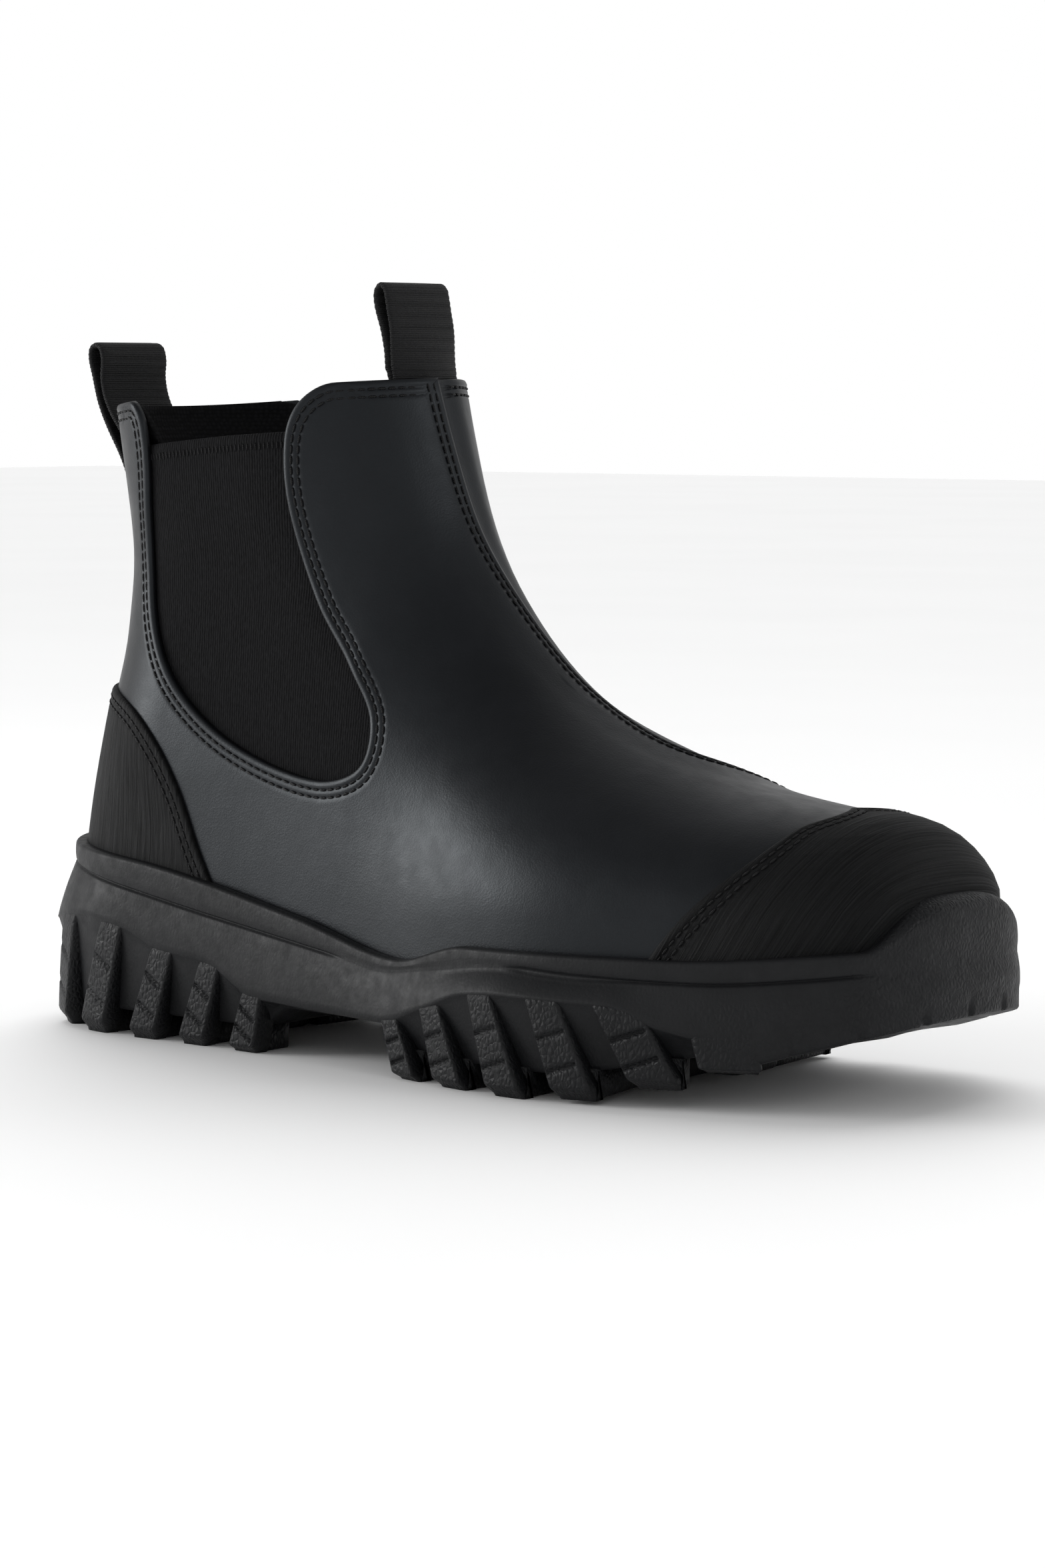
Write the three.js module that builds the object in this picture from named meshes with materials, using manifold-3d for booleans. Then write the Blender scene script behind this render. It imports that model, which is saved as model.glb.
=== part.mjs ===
// A right-foot pull-on safety ankle boot. Millimetres, +Z up, +X to the toe, +Y to the inside of the foot.
// The origin is on the ground, half way along and half way across the sole.
import * as THREE from "three";
import { mergeVertices } from "three/addons/utils/BufferGeometryUtils.js";
import Module from "manifold-3d";

const wasm = await Module();
wasm.setup();

// ---------------------------------------------------------------- sizes
// The stations further down are drawn for a sample last, and graded to the last that is built.
const sampleLast = { length: 270, width: 94, shaftHeight: 132 };
const last = { length: 270, width: 94, shaftHeight: 132 };

const gap = 0.3; // between pieces that touch
const plyGap = 0.7; // between the curved layers of the upper
const leather = 1.8;
const overlay = 1.2; // the abrasion-resistant toe and heel overlays
const elastic = 1.2; // the knitted side panels
const steelCap = 1.8;
const counterBoard = 1.8;
const liningCloth = 1.2;
const collarRise = 12; // how far the elastic stops below the leather collar

const cupDepth = 9; // how deep the upper sits in the cup of the sole
const lipWidth = 3.6; // the sole's top edge stands this far outside the leather
const bumperRise = 12; // the toe bumper above that edge
const bumperThickness = 4.2; // and outside it
const lugDepth = 6.5;
const lugWidth = 8;
const seat = 1.2; // glue room under the lower edge of the upper
const treadWeb = 4.5; // rubber between the tread and the foam
const lugSet = 4.5; // how far the recess behind the side lugs is set in
const foamInset = 7.4; // rubber side wall around the foam
const toeSpring = 24; // how far the sole rises at the toe

const shank = { length: 96, width: 14, thickness: 1.5, centre: -32 };
const insoleBoard = 2;
const footbed = { thickness: 5, room: 2.4 }; // room between it and the lining
const capLength = 50; // steel toe cap, from the tip of the last
const capStrip = 9; // soft strip along the rear edge of the cap
const capStripThickness = 1.2;
const capSlope = 8; // how far the cap's rear edge leans forwards from the sole to the ridge
const elasticMargin = 7; // how far the elastic is tucked behind the leather around its window
const rearTailLength = 26; // sewn-down end of the rear loop, below its hinge

const webbing = { width: 25, thickness: 1.4 };
const frontLoop = { height: 22, lean: -6, opening: 5.2 };
const rearLoop = { height: 41, lean: -14, opening: 4.6 };
const backstay = { width: 18, thickness: 1 };

const around = 16; // facets from heel to toe on each side of the upper
const rows = 18; // facets from the sole up to the collar
const soleSteps = 22; // facets from heel to toe on each side of the sole

// ---------------------------------------------------------------- curves
const gradeX = last.length / sampleLast.length;
const gradeY = last.width / sampleLast.width;
const gradeZ = last.shaftHeight / sampleLast.shaftHeight;
const soleTop = 44; // the level that the shaft height is measured from
const lengthAt = (x) => x * gradeX;
const widthAt = (y) => y * gradeY;
const heightAt = (z) => soleTop + (z - soleTop) * gradeZ;

const clamp = (t, low, high) => Math.min(Math.max(t, low), high);
const mix = (a, b, t) => a + (b - a) * t;
function ramp(from, to, x) {
  const t = clamp((x - from) / (to - from), 0, 1);
  return t * t * (3 - 2 * t);
}

// A smooth curve through [place, value] stations that never overshoots them.
function through(stations) {
  const n = stations.length;
  const step = [];
  const slope = [];
  for (let i = 0; i + 1 < n; i++) {
    step.push(stations[i + 1][0] - stations[i][0]);
    slope.push((stations[i + 1][1] - stations[i][1]) / step[i]);
  }
  const tangent = stations.map((_, i) => {
    if (i === 0) return slope[0];
    if (i === n - 1) return slope[n - 2];
    if (slope[i - 1] * slope[i] <= 0) return 0;
    const a = 2 * step[i] + step[i - 1];
    const b = step[i] + 2 * step[i - 1];
    return (a + b) / (a / slope[i - 1] + b / slope[i]);
  });
  return (x) => {
    if (x <= stations[0][0]) return stations[0][1] + tangent[0] * (x - stations[0][0]);
    if (x >= stations[n - 1][0]) return stations[n - 1][1] + tangent[n - 1] * (x - stations[n - 1][0]);
    let i = 0;
    while (x > stations[i + 1][0]) i++;
    const h = step[i];
    const t = (x - stations[i][0]) / h;
    const [p, q] = [stations[i][1], stations[i + 1][1]];
    return (1 + 2 * t) * (1 - t) ** 2 * p + t * (1 - t) ** 2 * h * tangent[i]
      + t * t * (3 - 2 * t) * q + t * t * (t - 1) * h * tangent[i + 1];
  };
}
const graded = (stations, gradeA, gradeB) => stations.map(([a, b]) => [gradeA(a), gradeB(b)]);

// ---------------------------------------------------------------- the last, seen from the side
const backEdge = through(graded(
  [[44, -134], [62, -130.5], [84, -125], [108, -118.7], [132, -116.7], [168, -120.4]], heightAt, lengthAt));
const frontStations = graded(
  [[-19, 176], [-15, 160], [-8, 138], [6, 116], [28, 95], [57, 81.5], [83, 73.5], [104, 70], [121, 67.5], [132, 57],
    [136, 44], [137, 30]], lengthAt, heightAt);
const frontChord = [0];
for (let i = 1; i < frontStations.length; i++) {
  const [a, b] = [frontStations[i - 1], frontStations[i]];
  frontChord.push(frontChord[i - 1] + Math.hypot(b[0] - a[0], b[1] - a[1]));
}
const frontX = through(frontStations.map(([x], i) => [frontChord[i], x]));
const frontZ = through(frontStations.map(([, z], i) => [frontChord[i], z]));
const frontLength = frontChord.at(-1);
const fine = 600;
const frontFine = Array.from({ length: fine + 1 }, (_, i) => {
  const s = (i * frontLength) / fine;
  return [frontX(s), frontZ(s)];
});
function lookUp(from, to, value) {
  const rising = frontFine[fine][from] > frontFine[0][from];
  const key = (i) => (rising ? frontFine[i][from] : frontFine[fine - i][from]);
  const out = (i) => (rising ? frontFine[i][to] : frontFine[fine - i][to]);
  if (value <= key(0)) return out(0);
  if (value >= key(fine)) return out(fine);
  let [low, high] = [0, fine];
  while (high - low > 1) {
    const middle = (low + high) >> 1;
    if (key(middle) <= value) low = middle;
    else high = middle;
  }
  return mix(out(low), out(high), (value - key(low)) / (key(high) - key(low) || 1));
}
const frontXAt = (z) => lookUp(1, 0, z);
const ridgeAt = (x) => lookUp(0, 1, x);
const toeX = frontFine[fine][0];
const heelX = backEdge(soleTop);

// ---------------------------------------------------------------- the last, seen from above
const lateralHalf = through(graded(
  [[-136, 33], [-100, 35], [-60, 36], [-20, 39], [20, 45.5], [55, 49], [90, 46], [137, 41]], lengthAt, widthAt));
const medialHalf = through(graded(
  [[-136, 33], [-100, 35], [-60, 33], [-20, 33], [20, 39.5], [55, 45], [90, 47], [137, 49]], lengthAt, widthAt));
const shaftHalf = through(graded(
  [[44, 33], [84, 32.2], [120, 32.2], [145, 34.7], [176, 36.7]], heightAt, widthAt));
const ridgeY = (x) => widthAt(7) * ramp(lengthAt(20), lengthAt(140), x);
const heelRadius = lengthAt(38);
const shinRadius = lengthAt(50);
const toeRadius = lengthAt(64.5);

// ---------------------------------------------------------------- levels of the sole, along its length
const lipTop = through(graded(
  [[-140, 51.5], [-95, 48], [-35, 37.5], [5, 30], [30, 35.5], [90, 36.3], [140, 40.5]], lengthAt, (z) => z));
const featherLine = (x) => lipTop(x) - cupDepth;
const boardLevel = through(graded(
  [[-140, 43], [-95, 40], [-35, 31], [5, 27.5], [30, 27], [90, 27.6], [140, 31]], lengthAt, (z) => z));
const spring = (x) => toeSpring * clamp((x - lengthAt(55)) / lengthAt(90), 0, 2) ** 1.5;
const arch = (x) => 6 * ramp(lengthAt(-52), lengthAt(-40), x) * (1 - ramp(lengthAt(-2), lengthAt(8), x));
const tread = (x) => lugDepth + spring(x) + arch(x) - (lugDepth - 2.5) * ramp(lengthAt(80), lengthAt(135), x);
const cupFloor = (x) => tread(x) + treadWeb;
const recessTop = through(graded(
  [[-145, 29], [-112, 31], [-98, 29], [-84, 24], [-67, 22], [-48, 14], [0, 13], [18, 18], [34, 23.5], [46, 24.5],
    [74, 24], [88, 19], [100, 17], [125, 22], [145, 30]], lengthAt, (z) => z));
const lateralFlare = through(graded(
  [[-134, 7.4], [-120, 3.6], [-95, 0.8],
    [-60, 0.5], [0, 1.8], [50, 4.2], [95, 2], [140, 0.4]],
  lengthAt, (f) => f));
const medialFlare = through(graded(
  [[-134, 7.4], [-120, 3.6], [-95, 0.8],
    [-60, 0.5], [0, 1], [60, 1], [95, 1], [140, 0.4]],
  lengthAt, (f) => f));

// ---------------------------------------------------------------- the outer surface of the leather
function rounded(t, power) {
  const u = clamp(t, 0, 1);
  return Math.max(1 - (1 - u) ** power, 0) ** (1 / power);
}

// Half the width of the boot at (x, z) on one side: -1 outside of the foot, +1 inside.
function halfWidth(x, z, side) {
  const plan = side < 0 ? lateralHalf(x) : medialHalf(x);
  const shaft = ramp(0, 1, (z - heightAt(70)) / (70 * gradeZ));
  const width = mix(plan, shaftHalf(z), shaft);
  const heelEnd = rounded((x - backEdge(z)) / heelRadius, 2.2);
  const shinEnd = rounded((frontXAt(z) - x) / shinRadius, 2);
  const wallTop = featherLine(x) + 17;
  const rise = clamp((z - wallTop) / Math.max(ridgeAt(x) - wallTop, 1e-3), 0, 1);
  const dome = Math.max(1 - rise ** 1.8, 0) ** (1 / 2.1);
  const foreEnd = rounded((toeX - x) / toeRadius, 2.7) * dome;
  const intoShaft = ramp(-45, 45, ((z - heightAt(100)) / gradeZ) * 0.75 - (x / gradeX + 15));
  return width * heelEnd * mix(foreEnd, shinEnd, intoShaft);
}

function surfacePoint(x, z, side) {
  return new THREE.Vector3(x, ridgeY(x) + side * halfWidth(x, z, side), z);
}

// Rows of points from the feather line (row 0) to the collar. Each row runs along the outside from heel to toe
// and comes back along the inside.
const backLow = featherLine(heelX);
const backHigh = heightAt(168);
const grid = [];
for (let k = 0; k <= rows; k++) {
  const t = k / rows;
  const front = [frontX((1 - t) * frontLength), frontZ((1 - t) * frontLength)];
  const backZ = mix(backLow, backHigh, t);
  const back = [backEdge(backZ), backZ];
  const flat = 1 - ramp(0.35, 0.75, t);
  const turn = [mix(back[0], front[0], 0.8), mix(back[1], front[1], 0.8 - 0.45 * flat * ramp(0, 0.15, t))];
  const tip = toeX;
  const level = (x) => mix(backLow, frontFine[fine][1], (x - heelX) / (tip - heelX));
  const row = [];
  for (let j = 0; j <= around; j++) {
    const v = (1 - Math.cos((Math.PI * j) / around)) / 2;
    const [a, b, c] = [(1 - v) ** 2, 2 * v * (1 - v), v * v];
    const x = a * back[0] + b * turn[0] + c * front[0];
    const fade = (1 - t) ** 3 * (1 - (t > 0 ? v ** (3 / t) : 0));
    const z = a * back[1] + b * turn[1] + c * front[1] + fade * (featherLine(x) - level(x));
    row.push([x, z]);
  }
  const outside = row.map(([x, z]) => surfacePoint(x, z, -1));
  const inside = row.slice(1, -1).reverse().map(([x, z]) => surfacePoint(x, z, 1));
  grid.push([...outside, ...inside]);
}
const columns = 2 * around;

function gridNormal(k, j) {
  const along = grid[k][(j + 1) % columns].clone().sub(grid[k][(j + columns - 1) % columns]);
  const up = grid[Math.min(k + 1, rows)][j].clone().sub(grid[Math.max(k - 1, 0)][j]);
  return along.cross(up).normalize();
}
const normals = grid.map((row, k) => row.map((_, j) => gridNormal(k, j)));

// ---------------------------------------------------------------- solids
function solidFrom(positions, triangles) {
  return new wasm.Manifold(new wasm.Mesh({
    numProp: 3,
    vertProperties: new Float32Array(positions.flatMap((p) => [p.x, p.y, p.z])),
    triVerts: new Uint32Array(triangles.flat()),
  }));
}

// One closed solid from rings of points, bottom to top, each anticlockwise seen from above.
function lofted(rings) {
  const n = rings[0].length;
  const half = n / 2;
  const triangles = [];
  for (let k = 0; k + 1 < rings.length; k++) {
    for (let i = 0; i < n; i++) {
      const [a, b] = [k * n + i, k * n + ((i + 1) % n)];
      triangles.push([a, b, b + n], [a, b + n, a + n]);
    }
  }
  const lid = (base, up) => {
    for (let i = 0; i < half; i++) {
      const quad = [i, i + 1, (n - i - 1) % n, (n - i) % n].map((q) => base + q);
      const faces = [[quad[0], quad[1], quad[2]], [quad[0], quad[2], quad[3]]];
      for (const f of faces) if (new Set(f).size === 3) triangles.push(up ? f : [f[0], f[2], f[1]]);
    }
  };
  lid(0, false);
  lid((rings.length - 1) * n, true);
  return solidFrom(rings.flat(), triangles);
}

const offsetRow = (k, distance) => grid[k].map((p, j) => p.clone().addScaledVector(normals[k][j], distance));

// A skin that follows the leather, between two distances from its outer face.
function skin(innerDistance, outerDistance) {
  const outer = grid.map((_, k) => offsetRow(k, outerDistance));
  const inner = grid.map((_, k) => offsetRow(k, innerDistance)).reverse();
  const rings = [...outer, ...inner];
  const triangles = [];
  for (let k = 0; k < rings.length; k++) {
    const next = (k + 1) % rings.length;
    for (let j = 0; j < columns; j++) {
      const beside = (j + 1) % columns;
      const [a, b, c, d] = [k * columns + j, k * columns + beside, next * columns + beside, next * columns + j];
      triangles.push([a, b, c], [a, c, d]);
    }
  }
  return solidFrom(rings.flat(), triangles);
}

function solidOf(geometry) {
  const plain = geometry.index ? geometry.toNonIndexed() : geometry.clone();
  const bare = new THREE.BufferGeometry().setAttribute("position", plain.getAttribute("position"));
  const merged = mergeVertices(bare, 1e-4);
  return new wasm.Manifold(new wasm.Mesh({
    numProp: 3,
    vertProperties: merged.attributes.position.array,
    triVerts: new Uint32Array(merged.index.array),
  }));
}

// An outline drawn in side view (x, z) and pushed through from yLow to yHigh.
function sideBlock(outline, yLow, yHigh) {
  const shape = new THREE.Shape(outline.map(([x, z]) => new THREE.Vector2(x, z)));
  const geometry = new THREE.ExtrudeGeometry(shape, { depth: yHigh - yLow, bevelEnabled: false });
  return solidOf(geometry.rotateX(Math.PI / 2).translate(0, yHigh, 0));
}

// An outline drawn from above (x, y) and pushed up from zLow to zHigh.
function planBlock(outline, zLow, zHigh) {
  const shape = new THREE.Shape(outline.map(([x, y]) => new THREE.Vector2(x, y)));
  const geometry = new THREE.ExtrudeGeometry(shape, { depth: zHigh - zLow, bevelEnabled: false });
  return solidOf(geometry.translate(0, 0, zLow));
}

function bend(points, count) {
  const curve = new THREE.SplineCurve(points.map(([x, z]) => new THREE.Vector2(x, z)));
  return curve.getSpacedPoints(count).map((p) => [p.x, p.y]);
}

// The same outline moved outwards by a distance; it is closed and runs either way round.
function grown(outline, distance) {
  const turn = Math.sign(THREE.ShapeUtils.area(outline.map(([x, y]) => new THREE.Vector2(x, y))));
  return outline.map(([x, y], i) => {
    const before = outline[(i + outline.length - 1) % outline.length];
    const after = outline[(i + 1) % outline.length];
    const [dx, dy] = [after[0] - before[0], after[1] - before[1]];
    const length = Math.hypot(dx, dy) || 1;
    return [x + (turn * distance * dy) / length, y - (turn * distance * dx) / length];
  });
}

const wide = 100; // half the width of a cutter that passes right through
const tall = heightAt(176) + 60;
const far = last.length;

// ---------------------------------------------------------------- outlines of the panels, seen from the side
const graded2 = (points) => graded(points, lengthAt, heightAt);
const rearCorner = graded2([[-103, 182], [-102, 171], [-96, 169], [-92.5, 163], [-92.3, 153]]);
const frontCorner = graded2([[-44.8, 156], [-44.6, 166], [-42.2, 171.5], [-37, 175], [-33, 184]]);
const windowCurve = graded2([[-92.3, 153], [-94.6, 126], [-91, 109], [-82, 95], [-66, 83], [-43, 74.7], [-25, 73],
  [-14.5, 77.5], [-13, 89], [-22, 103], [-33, 117], [-40, 131], [-44, 146], [-44.8, 156]]);
const window = [
  ...bend(rearCorner, 6),
  ...bend(windowCurve, 22).slice(1),
  ...bend(frontCorner, 6).slice(1),
  [lengthAt(-33), tall],
  [lengthAt(-103), tall],
];
const elasticTop = graded2([[-120, 168 - collarRise], [-91, 158.2], [-44, 162.2], [-20, 176 - collarRise]]);
const belowElasticTop = [...elasticTop, [lengthAt(10), heightAt(164)], [lengthAt(10), 0], [lengthAt(-120), 0]];
const aboveElastic = [...elasticTop, [lengthAt(-20), tall], [lengthAt(-120), tall]];
const toeEdge = graded2([[82, 35], [88, 43], [98, 54], [104, 61], [107.5, 72]]);
const toeArea = [...bend(toeEdge, 6), [lengthAt(107.5), tall], [far, tall], [far, 0], [lengthAt(82), 0]];
const heelEdge = graded2([[-66, 40], [-72.5, 52], [-80, 68], [-88.5, 80], [-98, 88], [-112, 92.5], [-128, 93.5]]);
const heelArea = [[lengthAt(-66), 0], ...bend(heelEdge, 9), [-far, heightAt(93.5)], [-far, 0]];
const counterArea = graded2([[-72, 0], [-72, 50], [-80, 68], [-92, 80], [-110, 87], [-160, 90], [-160, 0]]);
const capArea = [[toeX - capLength, 0], [toeX - capLength + capSlope, tall], [far, tall], [far, 0]];
const stripArea = [
  [toeX - capLength - capStrip, 0],
  [toeX - capLength - capStrip + capSlope, tall],
  [toeX - capLength + capSlope - gap, tall],
  [toeX - capLength - gap, 0],
];
// The inside quarter, seen from above: it meets the outside one at the back and in the lapped front seam.
const insideArea = [
  [-far, 0],
  [lengthAt(-40), widthAt(0)],
  [lengthAt(-19), widthAt(-1.2)],
  [lengthAt(-8), widthAt(2.5)],
  [lengthAt(7), widthAt(6)],
  [lengthAt(28), widthAt(7.8)],
  [lengthAt(50), widthAt(6.5)],
  [lengthAt(60), widthAt(11)],
  [lengthAt(70), widthAt(30)],
  [lengthAt(74), widthAt(90)],
  [-far, widthAt(90)],
];
const lipLine = Array.from({ length: 24 }, (_, i) => {
  const x = mix(heelX - 20, toeX + 20, i / 23);
  return [x, lipTop(x) + gap];
});
const underLip = [...lipLine, [toeX + 20, -40], [heelX - 20, -40]];

// ---------------------------------------------------------------- the upper
const liningOuter = -(leather + plyGap + Math.max(steelCap, counterBoard, elastic) + plyGap);
const liningInner = liningOuter - liningCloth;
const underLeather = -(leather + plyGap);

const leatherShell = skin(-leather, 0);
const opening = sideBlock(window, -wide, wide);
const insideCut = planBlock(insideArea, -50, tall);
const insideCutWide = planBlock(grown(insideArea, gap), -50, tall);
const leatherCut = leatherShell.subtract(opening);
const insideQuarter = leatherCut.intersect(insideCut);
const outsideUpper = leatherCut.subtract(insideCutWide);

const elasticShell = skin(underLeather - elastic, underLeather)
  .intersect(sideBlock(grown(window, elasticMargin), -wide, wide))
  .intersect(sideBlock(belowElasticTop, -wide, wide));
const outsideHalf = planBlock([[-far, -wide], [far, -wide], [far, 0], [-far, 0]], -50, tall);
const outsideElastic = elasticShell.intersect(outsideHalf);
const insideElastic = elasticShell.subtract(outsideHalf);

const counter = skin(underLeather - counterBoard, underLeather).intersect(sideBlock(counterArea, -wide, wide));
const capShell = skin(underLeather - steelCap, underLeather);
const toeCap = capShell.intersect(sideBlock(capArea, -wide, wide));
const capStripMiddle = underLeather - steelCap / 2;
const toeCapStrip = skin(capStripMiddle - capStripThickness / 2, capStripMiddle + capStripThickness / 2 - gap)
  .intersect(sideBlock(stripArea, -wide, wide));

const overlayShell = skin(plyGap, plyGap + overlay).subtract(sideBlock(underLip, -wide, wide));
const toeOverlay = overlayShell.intersect(sideBlock(toeArea, -wide, wide));
const heelOverlay = overlayShell.intersect(sideBlock(heelArea, -wide, wide));

const liningShell = skin(liningInner, liningOuter)
  .subtract(opening.intersect(sideBlock(aboveElastic, -wide, wide)));
const vampCut = lengthAt(22);
const below = -50; // a level under the whole boot, for cutters
const aheadOf = (x) => sideBlock([[x, below], [far, below], [far, tall], [x, tall]], -wide, wide);
const liningFront = liningShell.intersect(aheadOf(vampCut));
const liningRear = liningShell.subtract(aheadOf(vampCut - gap));

const stripBlock = (width, zLow, zHigh, back) =>
  planBlock(back
    ? [[-far, -width / 2], [lengthAt(-90), -width / 2], [lengthAt(-90), width / 2], [-far, width / 2]]
    : [[lengthAt(-60), -width / 2], [far, -width / 2], [far, width / 2], [lengthAt(-60), width / 2]], zLow, zHigh);
const rearPivotZ = heightAt(143);
const backStrip = skin(gap, gap + backstay.thickness)
  .intersect(stripBlock(backstay.width, heightAt(93.5) + gap, heightAt(166), true));
const rearTail = skin(gap + backstay.thickness + gap, gap + backstay.thickness + gap + 2 * webbing.thickness)
  .intersect(stripBlock(webbing.width, rearPivotZ - rearTailLength, rearPivotZ - webbing.thickness - gap, true));
const frontTail = skin(underLeather - steelCap, underLeather)
  .intersect(stripBlock(webbing.width, heightAt(150), heightAt(175), false));

// ---------------------------------------------------------------- the sole
// The plan of the leather at the feather line, heel to toe outside and back inside, with each point's own x kept.
const soleStations = [];
for (let i = 0; i <= soleSteps; i++) {
  const v = (1 - Math.cos((Math.PI * i) / soleSteps)) / 2;
  soleStations.push({ x: mix(heelX, toeX, v), side: -1 });
}
for (let i = soleSteps - 1; i > 0; i--) soleStations.push({ x: soleStations[i].x, side: 1 });
const solePlan = soleStations.map(({ x, side }) => [x, ridgeY(x) + side * halfWidth(x, soleTop, side)]);
const flareAt = ({ x, side }) => (side < 0 ? lateralFlare(x) : medialFlare(x));

// A ring at a distance outside that plan, at a level that depends on the place along the sole.
function soleRing(distance, level) {
  const n = solePlan.length;
  return solePlan.map(([x, y], i) => {
    const before = solePlan[(i + n - 1) % n];
    const after = solePlan[(i + 1) % n];
    const [dx, dy] = [after[0] - before[0], after[1] - before[1]];
    const length = Math.hypot(dx, dy);
    const out = typeof distance === "function" ? distance(soleStations[i]) : distance;
    return new THREE.Vector3(x + (out * dy) / length, y - (out * dx) / length, level(x));
  });
}
const lipOut = ({ x }) => lipWidth + bumperThickness * ramp(lengthAt(118), lengthAt(132), x);
const wallOut = (station) => lipOut(station) + flareAt(station);
const recessOut = (station) => wallOut(station) - lugSet;
const bumper = (x) => bumperRise * ramp(lengthAt(129), lengthAt(134), x);
const soleBody = lofted([
  soleRing(recessOut, tread),
  soleRing(recessOut, recessTop),
  soleRing(wallOut, (x) => recessTop(x) + 1.2),
  soleRing(lipOut, (x) => lipTop(x) - 8),
  soleRing(lipOut, (x) => lipTop(x) + bumper(x)),
]);

// The point on the wall of the sole at a place along it.
function wallPoint(x, side, inwards) {
  const ring = soleRing(wallOut, () => 0);
  const edge = ring.filter((_, i) => soleStations[i].side === side || i === 0 || i === soleSteps);
  const ordered = edge.map((p) => [p.x, p.y]).sort((a, b) => a[0] - b[0]);
  let i = 0;
  while (i + 2 < ordered.length && ordered[i + 1][0] < x) i++;
  const [a, b] = [ordered[i], ordered[i + 1]];
  const y = mix(a[1], b[1], clamp((x - a[0]) / (b[0] - a[0]), 0, 1));
  return [x, y - side * inwards];
}

// A block of tread: four corners on the ground and four leaning ones above.
function lug(corners, low, high, lean) {
  const turn = THREE.ShapeUtils.area(corners.map(([x, y]) => new THREE.Vector2(x, y)));
  const ordered = turn > 0 ? corners : [...corners].reverse();
  const bottom = ordered.map(([x, y]) => new THREE.Vector3(x, y, low(x)));
  const top = ordered.map(([x, y], i) => new THREE.Vector3(x + lean[corners.indexOf(ordered[i])], y, high(x)));
  return lofted([bottom, top]);
}
function sideLug(x, side, width, lean, reach) {
  const [a, b] = [wallPoint(x - width / 2, side, 0.3), wallPoint(x + width / 2, side, 0.3)];
  const [c, d] = [wallPoint(x + width / 2, side, reach), wallPoint(x - width / 2, side, reach)];
  const top = Math.min(recessTop(x), recessTop(x + lean)) + 0.6;
  return lug([a, b, c, d], (at) => spring(at), () => top, [lean, lean, lean, lean]);
}
const heelLugs = [-122, -105, -87.5, -69, -51].map((x) => ({ x, width: lugWidth, lean: 5, reach: 24 }));
const foreLugs = [12, 29.5, 48, 67.5].map((x) => ({ x, width: lugWidth + 1.5, lean: -6, reach: 30 }));
foreLugs.push({ x: 86, width: lugWidth + 4, lean: -4, reach: 26 }, { x: 103, width: lugWidth, lean: -3, reach: 18 });
const treadLugs = [];
for (const side of [-1, 1]) {
  for (const l of [...heelLugs, ...foreLugs]) {
    treadLugs.push(sideLug(lengthAt(l.x), side, l.width, l.lean, l.reach * gradeY));
  }
}
// Middle blocks, in a row under the ball and under the heel.
const middle = [-96, -78, 22, 40, 58, 77, 95];
for (const at of middle) {
  const [x, y] = [lengthAt(at), ridgeY(lengthAt(at))];
  const half = widthAt(at < 0 ? 6 : 11);
  const corners = [[x - 5, y - half], [x + 4, y - half], [x + 8, y + half], [x - 1, y + half]];
  treadLugs.push(lug(corners, (p) => spring(p), (p) => tread(p) + 1.5, [0, 0, 0, 0]));
}
// The cup: a space that follows the leather with a small gap, and a narrower one below it for the foam.
const cupTop = lipTop(heelX) + 34; // above the highest point of the toe bumper
const rowsOfCup = (distance) => grid.map((_, k) => offsetRow(k, distance)).filter((row) => row[0].z < cupTop);
const cupRows = rowsOfCup(gap);
const cupUpper = lofted([cupRows[0].map((p) => p.clone().setZ(featherLine(p.x) - seat)), ...cupRows]);
const aboveFeather = (x) => Math.max(cupFloor(x), featherLine(x)) + 3; // runs into the upper space
const cupLower = lofted([soleRing(-foamInset, cupFloor), soleRing(-foamInset, aboveFeather)]);
const belowLip = [...lipLine.map(([x, z]) => [x, z - overlay - gap]), [toeX + 20, below], [heelX - 20, below]];
const toeRoom = lofted(rowsOfCup(plyGap + overlay + gap))
  .intersect(aheadOf(lengthAt(70)))
  .subtract(sideBlock(belowLip, -wide, wide));
const outsole = treadLugs.reduce((body, l) => body.add(l), soleBody)
  .subtract(cupUpper)
  .subtract(cupLower)
  .subtract(toeRoom);

// ---------------------------------------------------------------- inside the sole
const plate = (inset, low, high) => lofted([soleRing(-inset, low), soleRing(-inset, high)]);
const shankStart = lengthAt(shank.centre) - shank.length / 2;
function shankBar(extra) {
  const rings = [];
  const steps = 10;
  for (let i = 0; i <= steps; i++) {
    const x = mix(shankStart - extra, shankStart + shank.length + extra, i / steps);
    const top = boardLevel(x) - gap;
    rings.push([x, top - shank.thickness - extra, top + (extra > 0 ? 5 : 0)]);
  }
  const outline = [...rings.map(([x, low]) => [x, low]), ...[...rings].reverse().map(([x, , high]) => [x, high])];
  return sideBlock(outline, -shank.width / 2 - extra, shank.width / 2 + extra);
}
const foam = plate(foamInset + gap, (x) => cupFloor(x) + gap, (x) => Math.max(boardLevel(x) - gap, cupFloor(x) + 1.5))
  .subtract(shankBar(gap));
const bedInset = lengthAt(footbed.room) - liningInner;
const board = plate(bedInset - 0.6, boardLevel, (x) => boardLevel(x) + insoleBoard);
const bedBase = (x) => boardLevel(x) + insoleBoard + gap;
const innerSole = plate(bedInset, bedBase, (x) => bedBase(x) + footbed.thickness);

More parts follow.
